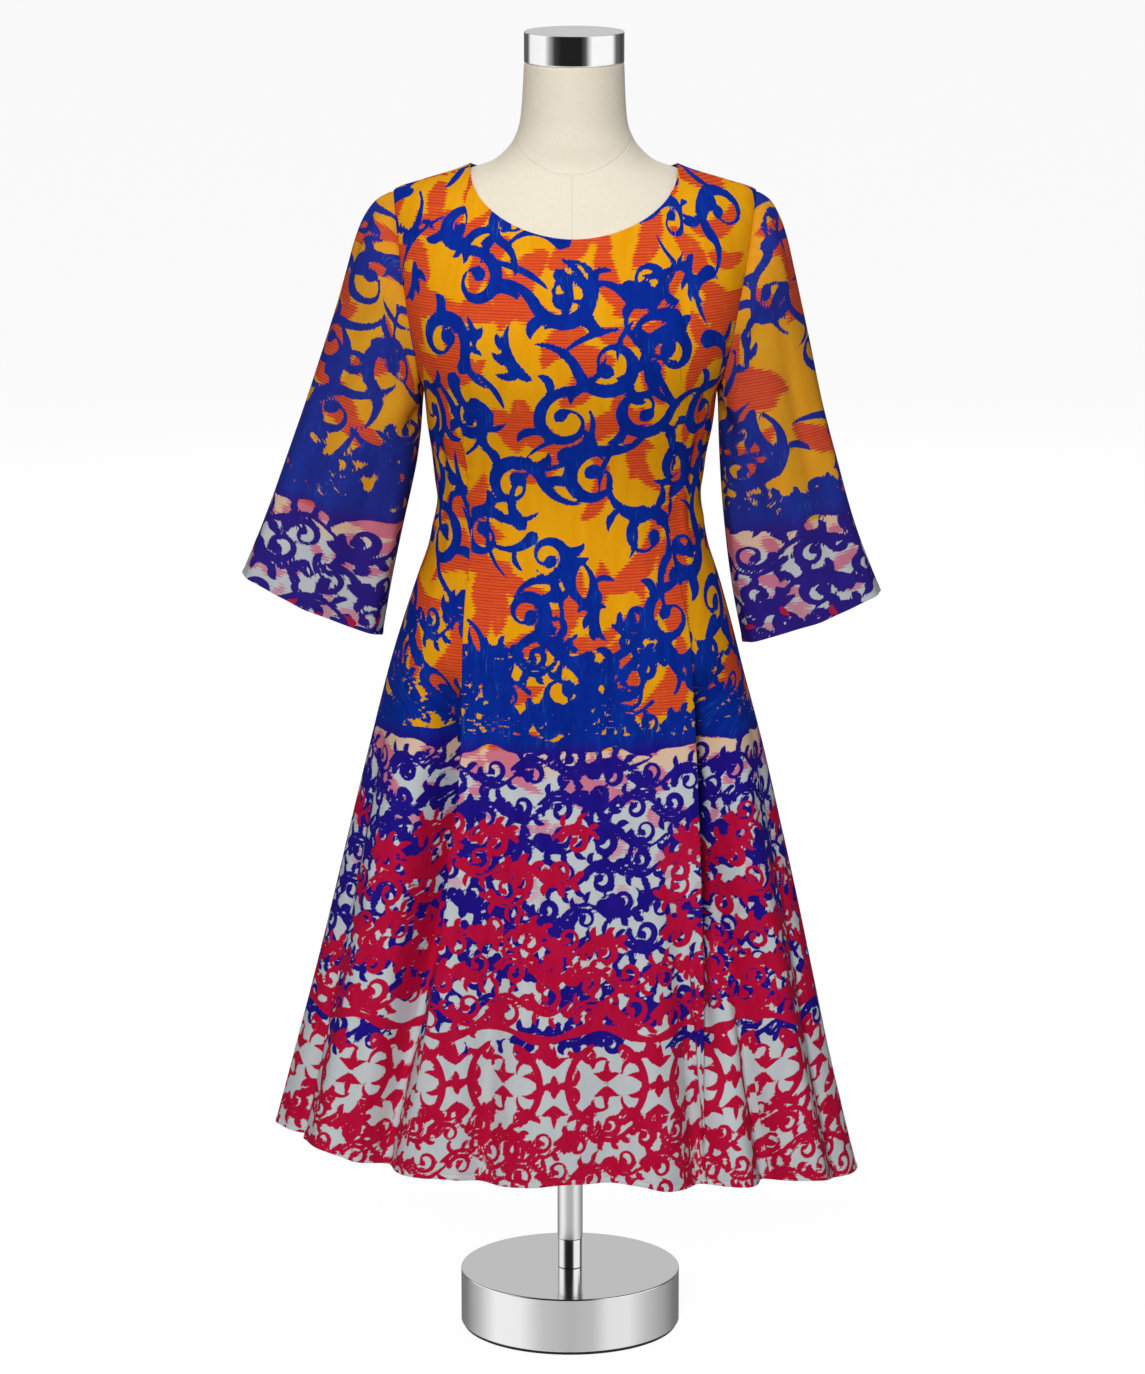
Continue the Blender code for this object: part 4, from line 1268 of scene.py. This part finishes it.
def sleeve_points(side):
    """Points of a sleeve's outside, and for the flat cloth their run and height from the cuff."""
    stations = LEFT_SLEEVE if side < 0 else RIGHT_SLEEVE
    front, back = (yoke_points(np.array([90.0 * side]), facing)[:, 0] for facing in (-1, 1))
    ring = np.concatenate((front[:0:-1], back[:-1])) + (-side * SLEEVE_TUCK, 0.0, 0.0)
    columns = len(ring)
    turn = 2.0 * math.pi * np.arange(columns) / columns
    rows = np.linspace(0.0, SLEEVE_END, SLEEVE_ROWS)
    rows = np.concatenate((rows, 10.0 - HEM_ROWS[::-1] / STATION_LENGTH))
    top_x, top_z, under_x, under_z, deep_front, deep_back = read_table(stations, rows)
    top = np.stack((side * top_x, 0 * top_x, top_z), -1)[:, None]
    under = np.stack((side * under_x, 0 * under_x, under_z), -1)[:, None]
    deep = np.where(turn < math.pi, deep_front[:, None], deep_back[:, None])
    points = 0.5 * (top + under) + 0.5 * (top - under) * np.cos(turn)[:, None]
    points[..., 1] -= deep * np.sin(turn)
    hold = np.maximum(1.0 - rows / BLEND_STATIONS, 0.0) ** 2
    points += (ring - points[0]) * hold[:, None, None]
    normal = side * grid_normals(points, True)
    degrees = turn_between(np.degrees(turn), 0.0)
    reach = np.zeros(points.shape[:2])
    for angle, place, spread, length, lean, depth in SLEEVE_FOLDS:
        along = rows[:, None] - place
        offset = turn_between(degrees, angle + lean * along) / spread
        reach += SLEEVE_FOLD_DEPTH * depth * np.exp(-offset * offset - (along / length) ** 2)
    steps = np.linalg.norm(np.diff(points, axis=0), axis=-1)
    from_cuff = np.concatenate((np.cumsum(steps[::-1], axis=0)[::-1], np.zeros((1, columns))))
    from_armhole = from_cuff[:1] - from_cuff
    reach *= ease(0.0, FOLDS_START, from_armhole)
    reach += hem_reach(from_cuff, CUFF_THICKNESS)
    head = bell(from_armhole - HEAD_PLACE, HEAD_WIDTH) * np.maximum(np.cos(turn), 0.0)
    reach += HEAD_GATHER * head * np.sin(turn * 34.0)
    reach -= 2.0 * SEAM_SINK * bell(from_armhole, SEAM_WIDTH)
    ripple = np.exp(-from_cuff / SLEEVE_RIPPLE_HEIGHT)
    reach += SLEEVE_RIPPLE * np.sin(turn * 13.0 + 1.0) * ripple
    moved = points + normal * reach[..., None]
    down = np.gradient(moved, axis=0)
    down /= np.linalg.norm(down, axis=-1, keepdims=True)
    around = np.linalg.norm(np.cross(np.roll(moved, -1, axis=1) - moved, down), axis=-1)
    run = np.concatenate((np.zeros((len(around), 1)), np.cumsum(around, axis=1)[:, :-1]), axis=1)
    girth = around.sum(axis=1)
    run = run - girth[:, None] * (run > 0.5 * girth[:, None])
    return moved, run, from_cuff, turn, girth


sleeves = {"sleeve_left": sleeve_points(-1), "sleeve_right": sleeve_points(1)}
for name, (moved, run, from_cuff, turn, girth) in sleeves.items():
    top, cuff = float(from_cuff[0, 0]), float(girth[-1])
    print(name, moved.shape, "top line", round(top, 3), "cuff round", round(cuff, 3))

# %% [markdown]
# The print is drawn as a screen printer would cut it, one screen for each colour. A screen keeps
# three numbers for each place of the cloth, and the first is above zero inside a brush stroke.
# The strokes are scrolls with a curled end, leaves and crescents, an old family of ornament.
# Their places are drawn by a seeded generator, so the cloth comes out the same each time.

# %% Brush strokes
BRUSH_MARGIN = 0.006
BLANK = (-0.02, 0.02, 0.0)
TURN = 2.0 * math.pi


class Screen:
    """The strokes of one colour over the places u, v of a cloth.

    Each place keeps three numbers of the stroke that covers it most: how far it is inside the
    stroke's edge, how far it is to the left of the stroke's middle, and the half-width.
    """

    def __init__(self, u, v):
        self.u, self.v = u, v
        self.left, self.right, self.top = float(u.min()), float(u.max()), float(v.max()) + 0.03
        self.marks = np.full(u.shape + (3,), BLANK)

    def brush(self, path, widths):
        """Draw one stroke: a path with a half-width at each of its points."""
        reach = float(widths.max()) + BRUSH_MARGIN
        low, high = path.min(axis=0) - reach, path.max(axis=0) + reach
        u, v = self.u, self.v
        near = np.flatnonzero((u > low[0]) & (u < high[0]) & (v > low[1]) & (v < high[1]))
        if len(near) == 0:
            return
        spots = np.stack((u[near], v[near]), -1)[:, None]
        start, step = path[:-1], np.diff(path, axis=0)
        away = spots - start
        share = (away * step).sum(-1) / np.maximum((step * step).sum(-1), 1e-12)
        share = np.clip(share, 0.0, 1.0)
        distance = np.linalg.norm(away - share[..., None] * step, axis=-1)
        width = widths[:-1] + np.diff(widths) * share
        inside = width - distance
        best = inside.argmax(axis=1)[:, None]
        left_of = step[:, 0] * away[..., 1] - step[:, 1] * away[..., 0]
        found = np.stack((inside, np.where(left_of < 0, -distance, distance), width), -1)
        found = np.take_along_axis(found, best[..., None], axis=1)[:, 0]
        nearer = found[:, 0] > self.marks[near, 0]
        self.marks[near[nearer]] = found[nearer]


def heading(angle):
    """Unit vectors in the directions of angles in radians."""
    return np.stack((np.cos(angle), np.sin(angle)), -1)


def bowed(root, angles, length):
    """A path from a root that follows a row of directions."""
    return root + np.cumsum(heading(angles), axis=0) * length / len(angles)


def crescent(screen, centre, radius, start, sweep, width):
    """A curved leaf that is widest near its middle."""
    share = np.linspace(0.0, 1.0, 13)
    path = centre + radius * heading(start + sweep * share)
    screen.brush(path, width * np.sin(math.pi * share ** 0.8) ** 0.8 + 0.0002)


def petal(screen, root, angle, length, bend, width):
    """A plain bowed petal."""
    share = np.linspace(0.0, 1.0, 9)
    path = bowed(root, angle + bend * (share - 0.3), length)
    screen.brush(path, width * np.sin(math.pi * share ** 0.8) + 0.0004)


def spray(screen, root, angle, length, width):
    """Three petals that open from one root."""
    for lean, share in ((0.0, 1.0), (0.62, 0.74), (-0.62, 0.74)):
        petal(screen, root, angle + lean, share * length, 1.2 * np.sign(lean), width)


def leaf(screen, root, length, angle, bend, width):
    """A bowed leaf with pointed lobes along its outer side."""
    share = np.linspace(0.0, 1.0, 15)
    angles = angle + bend * (share - 0.5)
    path = bowed(root, angles, length)
    screen.brush(path, width * np.sin(math.pi * share ** 0.65) ** 0.8 + 0.0003)
    side = -np.sign(bend)
    for index, spread in ((3, 1.15), (6, 1.0), (9, 0.85)):
        tip_angles = angles[index] + side * spread - side * 0.9 * np.linspace(0.0, 1.0, 6)
        lobe = bowed(path[index], tip_angles, length * (0.42 - 0.02 * index))
        screen.brush(lobe, width * np.array([0.8, 0.85, 0.75, 0.6, 0.4, 0.1]))


def horn(screen, root, length, angle, bend, width):
    """A broad stroke that grows from a stem and ends where the brush was lifted."""
    share = np.linspace(0.0, 1.0, 14)
    path = bowed(root, angle + bend * (share - 0.3), length)
    screen.brush(path, width * (0.22 + 0.78 * share ** 1.6))
    side = np.sign(bend)
    petal(screen, path[8], angle - side * 1.0, 0.42 * length, side * 1.2, 0.40 * width)


def scroll(screen, centre, size, start, hand, width, lobes=2, turns=1.12):
    """A curl with a ball at its inner end, a tapered tail and leaves along the outer side."""
    turning = np.linspace(0.0, 1.0, 22)
    radius = size * (1.0 - 0.74 * turning ** 0.9)
    curl = centre + radius[:, None] * heading(start + hand * turning * TURN * turns)
    tail_radius = 1.35 * size
    tail_centre = centre + (size + tail_radius) * heading(start)
    sweep = np.linspace(1.35, 0.0, 14)[:-1]
    tail = tail_centre + tail_radius * heading(start + math.pi + hand * sweep)
    tail_widths = width * (1.0 - sweep / 1.35) ** 0.6 + 0.0002
    curl_widths = width * (1.0 + 0.35 * np.sin(TURN * turning) - 0.40 * turning)
    screen.brush(np.concatenate((tail, curl)), np.concatenate((tail_widths, curl_widths)))
    screen.brush(curl[-2:], np.array([1.2, 1.3]) * width)
    for lobe in range(lobes):
        place = start + hand * (0.5 + 1.5 * lobe)
        root = centre + size * (1.0 - 0.06 * lobe) * heading(place)
        turned_to = place + hand * 0.5
        middle = root + 0.42 * size * heading(turned_to)
        crescent(screen, middle, 0.42 * size, turned_to + math.pi, hand * 2.1, 0.95 * width)


def lattice(random, low, high, across, along, jitter):
    """Places in staggered rows over a rectangle, each moved a little."""
    for index, height in enumerate(np.arange(low[1], high[1], along)):
        shift = 0.5 * across * (index % 2)
        for x in np.arange(low[0] - across, high[0] + across, across):
            yield np.array([x + shift, height]) + random.uniform(-jitter, jitter, 2)


# %% [markdown]
# Single strokes are put together into patterns: crescents sown over a rectangle, a row of round
# wreaths, a wavy stem with leaves, and running scrolls, whose stem sends a curl into each hollow.

# %% Patterns
DRIFT = 0.0065
DRIFT_LENGTH = 0.17
SIDE_ROOM = 0.03
LINE_ROOM = 0.02
LINE_STEP = 0.005
UP_AND_DOWN = -1, 1
Sowing = namedtuple("Sowing", "across along jitter size bend width")
Rows = namedtuple("Rows", "spacing period width")


def crescents(screen, random, low, high, sowing):
    """Crescents in staggered rows over a rectangle, with sizes drawn between two limits."""
    for centre in lattice(random, low, high, *sowing[:3]):
        crescent(screen, centre, random.uniform(*sowing.size), random.uniform(0.0, TURN),
                 random.uniform(*sowing.bend), random.uniform(*sowing.width))


def border(screen, level, step, phase, width):
    """Round wreaths with a double spray in each, tied by small flowers."""
    sweep = np.linspace(-1.15, 1.15, 17)
    for index in range(math.floor(screen.left / step) - 1, math.ceil(screen.right / step) + 2):
        middle = np.array([(index + phase) * step, level])
        for side in UP_AND_DOWN:
            arc = middle + 0.40 * step * heading(sweep + math.pi * (side < 0)) * (0.92, 1.0)
            screen.brush(arc, width * (0.9 + 0.35 * np.cos(sweep)))
            for up in UP_AND_DOWN:
                centre = middle + (side * 0.155 * step, up * 0.30 * step)
                scroll(screen, centre, 0.085 * step, -up * 1.0, side * up, 0.85 * width, 1, 0.95)
                inward = math.pi * (side > 0) + up * 0.8
                petal(screen, arc[8], inward, 0.22 * step, -side * up * 1.6, 0.95 * width)
                outward_root = arc[8 + 6 * side * up]
                petal(screen, outward_root, math.pi * (side < 0), 0.16 * step, side * up * 1.5,
                      width)
        for up in UP_AND_DOWN:
            spray(screen, middle, up * math.pi / 2, 0.24 * step, 0.95 * width)
        tie = middle + (0.5 * step, 0.0)
        for quarter in range(4):
            petal(screen, tie, quarter * math.pi / 2, 0.11 * step, 0.0, 1.1 * width)
        for up in UP_AND_DOWN:
            spray(screen, tie + (0.0, up * 0.16 * step), up * math.pi / 2, 0.24 * step, width)


def along_cloth(screen):
    """Places from side to side of a cloth, for a line that crosses it."""
    return np.arange(screen.left - LINE_ROOM, screen.right + LINE_ROOM, LINE_STEP)


def stem(screen, level, swing, step, width):
    """A wavy stem along the cloth, with a leaf at each bend."""
    run = along_cloth(screen)
    wave = level + swing * np.sin(run * TURN / step)
    screen.brush(np.stack((run, wave), -1), width * (1.0 + 0.3 * np.sin(run * 160.0)))
    for index in range(math.floor(screen.left / step) - 1, math.ceil(screen.right / step) + 2):
        for half, up in ((0.25, 1), (0.75, -1)):
            root = np.array([(index + half) * step, level + swing * up])
            leaf(screen, root, 0.30 * step, up * 0.9, -up * 1.4, 1.3 * width)


def running_scroll(screen, random, level, period, swing, width, chance=1.0):
    """A wavy stem that sends a curl into each of its hollows, with leaves on its crests."""
    left, right = screen.left - SIDE_ROOM, screen.right + SIDE_ROOM
    phase, drift = random.uniform(0.0, period), random.uniform(0.0, 0.8) + 26.0 * level
    first, last = (math.floor((left - phase) / period * 2), math.ceil((right - phase) / period * 2))
    run = np.linspace(-0.27, 0.27, 13) * period
    turning = np.linspace(0.0, 1.0, 20)
    for index in range(first, last):
        crest = np.array([phase + 0.5 * index * period, level])
        crest[1] += DRIFT * math.sin(crest[0] * TURN / DRIFT_LENGTH + drift)
        up = 1 if index % 2 else -1
        thick = width * random.uniform(0.8, 1.2)
        radius = 0.185 * period * random.uniform(0.88, 1.10)
        hollow = crest + (0.0, up * (swing - radius - 1.2 * width))
        hollow = hollow + random.uniform(-0.04, 0.04, 2) * radius
        lean = random.uniform(-0.25, 0.25)
        if random.random() > chance:
            continue
        wave = crest[1] + up * swing * np.cos(run * TURN / period)
        arch = np.stack((crest[0] + run, wave), -1)
        swell = 0.85 + 0.25 * np.sin(np.linspace(0.0, 5.0, 13) + lean * 9.0)
        screen.brush(arch, thick * swell)
        angle = math.pi + lean - up * turning * TURN * 1.15
        curl = hollow + (radius * (1.0 - 0.76 * turning ** 0.9))[:, None] * heading(angle)
        swell = 1.0 + 0.25 * np.sin(turning * 6.0 + lean * 8.0) - 0.25 * turning
        screen.brush(np.concatenate((arch[1:2], curl)), thick * np.append(0.5, swell))
        screen.brush(curl[-2:], np.array([1.25, 1.35]) * thick)
        for share, tip in ((-0.12, 2.0), (0.04, 1.45), (0.17, 0.95)):
            root = crest + (share * period, up * swing * math.cos(share * TURN))
            length = random.uniform(0.15, 0.22) * period
            petal(screen, root, up * (tip + lean), length, -up * 1.5, 0.95 * thick)


def rows_of_scrolls(screen, random, low, high, rows, chance=lambda level: 1.0):
    """Running scrolls one above another. chance gives how likely each hollow is filled."""
    for level in np.arange(high, low, -rows.spacing):
        height = level + random.uniform(-0.06, 0.06) * rows.spacing
        period = rows.period * random.uniform(0.92, 1.08)
        running_scroll(screen, random, height, period, 0.27 * rows.spacing + 0.0012,
                       rows.width * random.uniform(0.92, 1.08), chance(level))


# %% [markdown]
# The cloth has three zones, one above the other. At the top are large royal-blue scrolls and
# leaves on yellow, with orange-red patches. They crowd together into a dense band that ends in
# a wavy edge. Below it, fine violet scrolls lie on pale grey. Crimson ones mix in further down,
# and a row of round wreaths over running scrolls makes a border above the hem.

# %% Screens for the three inks
EDGE_LEVEL = float(cloth_height(0.541))
DENSE_TOP = float(cloth_height(0.640))
MIX_TOP = float(cloth_height(0.462))
MIX_FOOT = float(cloth_height(0.292))
BORDER = float(cloth_height(0.2526))
SLEEVE_DENSE = 0.072

LARGE_SCROLLS = Sowing(0.070, 0.058, 0.14 * 0.070, (0.0195, 0.0280), 1.7, (0.0040, 0.0055))
SCROLL_SHARE = 0.7
SCROLL_CHANCE = 1.0
UPPER_HORNS = Sowing(0.074, 0.062, 0.014, (0.040, 0.060), (1.2, 2.2), (0.0058, 0.0092))
UPPER_LEAVES = Sowing(0.066, 0.058, 0.014, (0.032, 0.080), (0.7, 1.5), (0.0018, 0.0034))
UPPER_PATCHES = Sowing(0.050, 0.034, 0.014, (0.030, 0.066), (0.9, 1.8), (0.0080, 0.0135))
SKIRT_HORNS = Sowing(0.044, 0.028, 0.010, (0.012, 0.018), (1.2, 2.0), (0.0028, 0.0040))
SKIRT_HORN_CHANCE = 0.75
SKIRT_PATCHES = Sowing(0.030, 0.020, 0.008, (0.012, 0.024), (0.7, 1.3), (0.0036, 0.0062))
CUFF_PATCHES = Sowing(0.026, 0.019, 0.007, (0.012, 0.024), (0.7, 1.3), (0.0036, 0.0062))
CUFF_PETALS = Sowing(0.034, 0.014, 0.006, (0.010, 0.016), 1.2, 0.0022)
DENSE_ROWS = Rows(0.0290, 0.066, 0.0030)
VIOLET_ROWS = Rows(0.0290, 0.066, 0.0027)
CRIMSON_ROWS = Rows(0.0300, 0.070, 0.0026)
FOOT_ROWS = Rows(0.0270, 0.062, 0.0024)
CUFF_ROWS = Rows(0.0350, 0.074, 0.0031)
WREATH_STEP = 0.092
CUFF_FOOT = 0.112


def large_scrolls(screen, random, low, high):
    """Large scrolls and leaves by turns over a rectangle."""
    sowing = LARGE_SCROLLS
    for centre in lattice(random, low, high, *sowing[:3]):
        kind, start, hand = random.random(), random.uniform(0.0, TURN), random.choice((-1, 1))
        size, width = random.uniform(*sowing.size), random.uniform(*sowing.width)
        if random.random() > SCROLL_CHANCE:
            continue
        if kind < SCROLL_SHARE:
            scroll(screen, centre, size, start, hand, width)
        else:
            root = centre - 0.9 * size * heading(start)
            leaf(screen, root, 2.3 * size, start, hand * sowing.bend, width)


def draw_upper(ink, patch, random, dense_top):
    """Large blue scrolls over patches, and under them a dense band that ends in a wavy edge."""
    low, high = (ink.left, dense_top - 0.045), (ink.right, ink.top)
    large_scrolls(ink, random, low, high)
    for centre in lattice(random, low, high, *UPPER_HORNS[:3]):
        length = random.uniform(*UPPER_HORNS.size)
        bend = random.choice((-1, 1)) * random.uniform(*UPPER_HORNS.bend)
        horn(ink, centre, length, random.uniform(0.0, TURN), bend,
             random.uniform(*UPPER_HORNS.width))
    crescents(ink, random, low, high, UPPER_LEAVES)
    depth = dense_top - EDGE_LEVEL
    rows_of_scrolls(ink, random, EDGE_LEVEL + 0.038, dense_top + 0.002, DENSE_ROWS,
                    lambda level: 0.80 - 0.25 * (level - EDGE_LEVEL) / depth)
    running_scroll(ink, random, EDGE_LEVEL + 0.023, 0.060, 0.0085, 0.0031)
    run = along_cloth(ink)
    wave = EDGE_LEVEL + 0.006 + 0.0022 * np.sin(run * 70.0) + 0.0016 * np.sin(run * 173.0 + 1.0)
    ink.brush(np.stack((run, wave), -1), 0.0068 + 0.0018 * np.sin(run * 120.0))
    crescents(patch, random, (ink.left, EDGE_LEVEL + 0.02), high, UPPER_PATCHES)


def draw_skirt(ink, wine, patch, random):
    """Violet scrolls that give way to crimson ones, a stem, a row of wreaths and foot rows."""
    left, right, depth = ink.left, ink.right, EDGE_LEVEL - MIX_FOOT
    rows_of_scrolls(ink, random, MIX_FOOT - 0.030, EDGE_LEVEL - 0.019, VIOLET_ROWS,
                    lambda level: 1.15 - 0.50 * ease(0.65, 1.05, (EDGE_LEVEL - level) / depth))
    low, high = (left, MIX_FOOT), (right, EDGE_LEVEL - 0.014)
    for centre in lattice(random, low, high, *SKIRT_HORNS[:3]):
        if random.random() < SKIRT_HORN_CHANCE:
            length, angle = random.uniform(*SKIRT_HORNS.size), random.uniform(0.0, TURN)
            bend = random.choice((-1, 1)) * random.uniform(*SKIRT_HORNS.bend)
            horn(ink, centre, length, angle, bend, random.uniform(*SKIRT_HORNS.width))
    rows_of_scrolls(wine, random, MIX_FOOT + 0.012, MIX_TOP + 0.006, CRIMSON_ROWS,
                    lambda level: 0.40 + 0.8 * (MIX_TOP - level) / (MIX_TOP - MIX_FOOT))
    stem(wine, MIX_FOOT + 0.004, 0.005, WREATH_STEP, 0.0038)
    border(wine, BORDER - 0.002, WREATH_STEP, 0.35, 0.0027)
    rows_of_scrolls(wine, random, BORDER - 0.150, BORDER - 0.048, FOOT_ROWS)
    crescents(patch, random, (left, MIX_FOOT), (right, EDGE_LEVEL - 0.004), SKIRT_PATCHES)


def draw_cuff(ink, wine, patch, random):
    """Bold violet scrolls over pink patches at the foot of a sleeve, with crimson by the cuff."""
    left, right, foot = ink.left, ink.right, EDGE_LEVEL - CUFF_FOOT
    rows_of_scrolls(ink, random, foot, EDGE_LEVEL - 0.023, CUFF_ROWS)
    petals = CUFF_PETALS
    for centre in lattice(random, (left, foot), (right, EDGE_LEVEL - 0.076), *petals[:3]):
        angle, length = random.uniform(0.0, TURN), random.uniform(*petals.size)
        petal(wine, centre, angle, length, petals.bend, petals.width)
    crescents(patch, random, (left, foot), (right, EDGE_LEVEL - 0.006), CUFF_PATCHES)


def draw_screens(seed, flat, sleeve):
    """The screens for blue and violet, for crimson and for the patches, over a flat cloth."""
    random = np.random.default_rng(seed)
    u, v = flat[..., 0].ravel(), flat[..., 1].ravel()
    ink, wine, patch = (Screen(u, v) for _ in range(3))
    draw_upper(ink, patch, random, EDGE_LEVEL + SLEEVE_DENSE if sleeve else DENSE_TOP)
    (draw_cuff if sleeve else draw_skirt)(ink, wine, patch, random)
    screens = {"ink": ink, "wine": wine, "patch": patch}
    return {name: screen.marks.reshape(flat.shape) for name, screen in screens.items()}


# %% [markdown]
# The finish lays the inks on the cloth in the printer's order: ground, patches, blue, crimson.
# Each edge is torn by a noise that is stretched along the warp, which gives the drawn teeth and
# dry streaks of a print on woven threads. Patches break up into fine lines across the cloth.

# %% Printed finishes
YELLOW = tint(248, 166, 4), tint(252, 180, 18)
ORANGE = tint(238, 92, 40), tint(206, 50, 34)
ROYAL = tint(3, 36, 140), tint(6, 54, 172)
PEACH = tint(243, 208, 178)
GREY = tint(206, 216, 222), tint(222, 226, 226)
PINK = tint(224, 104, 142)
VIOLET = tint(26, 14, 130), tint(40, 26, 150)
CRIMSON = tint(196, 8, 52), tint(208, 24, 72)
SKY_SCRATCH = tint(44, 108, 208)
THREAD = tint(40, 20, 50)
HATCH = TURN / 0.0026
STITCHES = TURN / 0.0028
STROKE_GATE = 0.0006
SHARP = 0.0, 0.0005
CLOTH_RELIEF = 0.00012


def stroke(cloth, screen):
    """How far a place is inside a screen's strokes, also where they are thinner than the grid."""
    inside, off_middle, width = cloth.parts(cloth.stored(screen))
    return (width - off_middle.size()).least(inside + STROKE_GATE)


def printed(name, roughness, veil_and_shade=None, veil_and_shade_share=0.0, **constants):
    """A printed cloth. The veil is the greyness of a thin cloth that one sees through a little,
    together with painted shade of the dim inside that would show through it.
    """
    cloth = Finish(name, ROYAL[0], roughness, **constants)
    place = cloth.stored("cloth")
    ink, wine, patch = (stroke(cloth, screen) for screen in ("ink", "wine", "patch"))
    u, v, edge = cloth.parts(place)
    level = v - EDGE_LEVEL
    upper = level.rise(-0.003, 0.003)

    # Noises that are stretched along the warp, across it, or not at all
    teeth = cloth.noise(cloth.stretch(place, 620.0, 60.0), 1.0)
    blots = cloth.noise(cloth.stretch(place, 110.0, 26.0), 1.0, 3.0)
    across = cloth.noise(cloth.stretch(place, 38.0, 420.0), 1.0)
    wave = cloth.noise(cloth.stretch(place, 26.0, 4.0), 1.0)
    threads = cloth.noise(cloth.stretch(place, 2600.0, 1500.0), 1.0, 1.0)
    crumbs = cloth.noise(place, 420.0)
    dry = cloth.noise(place, 26.0).rise(0.0, 0.22)
    tear = teeth * (upper * (dry * 0.0040 + 0.0006) + 0.0005) + crumbs * 0.0007

    ground = cloth.blend(blots.rise(-0.2, 0.2), *YELLOW)
    below = cloth.blend(blots.rise(-0.25, 0.25), *GREY)
    peach = (level + wave * 0.016 + across * 0.004).rise(-0.026, -0.014)
    below = cloth.blend(peach, below, PEACH)
    ground = cloth.blend((level + wave * 0.006).rise(0.0, 0.0006), below, ground)
    lines = (v * HATCH + across * 5.0).sine()
    torn_patch = patch + across * 0.0050 + blots * 0.003
    solid = (torn_patch * 420.0 + lines * 0.5).rise(0.0, 0.3)
    hatched = solid * (1.0 - (lines * blots * 2.6).rise(0.25, 0.75) * 0.75)
    hatch_colour = cloth.blend(upper, PINK, cloth.blend(lines.rise(-0.2, 0.9) * 0.75, *ORANGE))
    sparse = (v - MIX_TOP).rise(-0.10, 0.03) * 0.85
    base = cloth.blend(hatched * (upper + (1.0 - upper) * sparse), ground, hatch_colour)

    scratches = teeth.rise(0.06, 0.22) * cloth.noise(place, 34.0).rise(-0.02, 0.16)
    mottle = blots.rise(-0.3, 0.3)
    blue = cloth.blend(scratches * 0.60, cloth.blend(mottle, *ROYAL), SKY_SCRATCH)
    violet = cloth.blend(mottle, *VIOLET)
    blue = cloth.blend((level + wave * 0.02).rise(-0.004, 0.010), violet, blue)
    base = cloth.blend((ink + tear).rise(*SHARP), base, blue)
    base = cloth.blend((wine + tear).rise(*SHARP), base, cloth.blend(mottle, *CRIMSON))

    stitch_line = 1.0 - (edge - HEM_DEPTH).size().rise(0.0002, 0.0006)
    stitches = stitch_line * (u * STITCHES).sine().rise(-0.2, 0.3)
    base = cloth.blend((threads + 0.5) * 0.10 + stitches * 0.30, base, THREAD)
    # The veil mixes in a dark grey: partly the thin cloth's own greyness, partly painted shade of
    # the dim inside seen through it
    if veil_and_shade_share:
        base = cloth.blend(veil_and_shade_share, base, veil_and_shade)
    cloth.colour(base)
    cloth.relief(threads * 0.7 + crumbs * 0.5 - stitches * 0.5 + 0.5, CLOTH_RELIEF)
    return cloth.material


# %% [markdown]
# All four cloths are made the same way: points, screens, shell, finish.

# %% Cloth pieces
CLOTH_THICKNESS = 0.0005
SLEEVE_BAND = 0.078, 0.100
SLEEVE_PRINT = 0.72

crepe = printed("printed_crepe", 0.82, Specular_IOR_Level=0.12)
# The chiffon's dark grey veil is partly its own greyness and partly painted shade of the dim inside
# of the sleeves
chiffon = printed("printed_chiffon", 0.85, tint(84, 64, 84), 0.17, Specular_IOR_Level=0.1)


def dress_piece(name, points, flat, hand, finish, size, area, seed, closed):
    """Screens, shell and finish of one cloth."""
    wide, tall = size
    fields = {**draw_screens(seed, flat, closed), "cloth": flat}
    piece = cloth_shell(name + "_cloth", points, CLOTH_THICKNESS, hand, fields, closed)
    piece.data.materials.clear()
    piece.data.materials.append(finish)
    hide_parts(name)
    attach(piece, "root")
    print(piece.name, len(piece.data.polygons), "faces, cut", round(wide, 3), round(tall, 3))


for name, facing, seed in (("dress_front", -1, 11), ("dress_back", 1, 23)):
    moved, flat = panels[name]
    size = [float(flat[..., axis].max() - flat[..., axis].min()) for axis in (0, 1)]
    dress_piece(name, moved, flat, -facing, crepe, size, flat_area(flat),
                seed, False)
for name, side, seed in (("sleeve_left", -1, 37), ("sleeve_right", 1, 41)):
    moved, run, from_cuff, turn, girth = sleeves[name]
    band = SLEEVE_BAND[0] + (SLEEVE_BAND[1] - SLEEVE_BAND[0]) * (0.5 - 0.5 * np.cos(turn))
    flat = np.stack((SLEEVE_PRINT * run, EDGE_LEVEL - band + from_cuff, from_cuff), -1)
    size = float(girth.max()), float(from_cuff.max())
    heights = np.abs(np.diff(from_cuff, axis=0)).mean(axis=1)
    area = min(float((0.5 * (girth[1:] + girth[:-1]) * heights).sum()), size[0] * size[1])
    dress_piece(name, moved, flat, side, chiffon, size, area,
                seed, True)
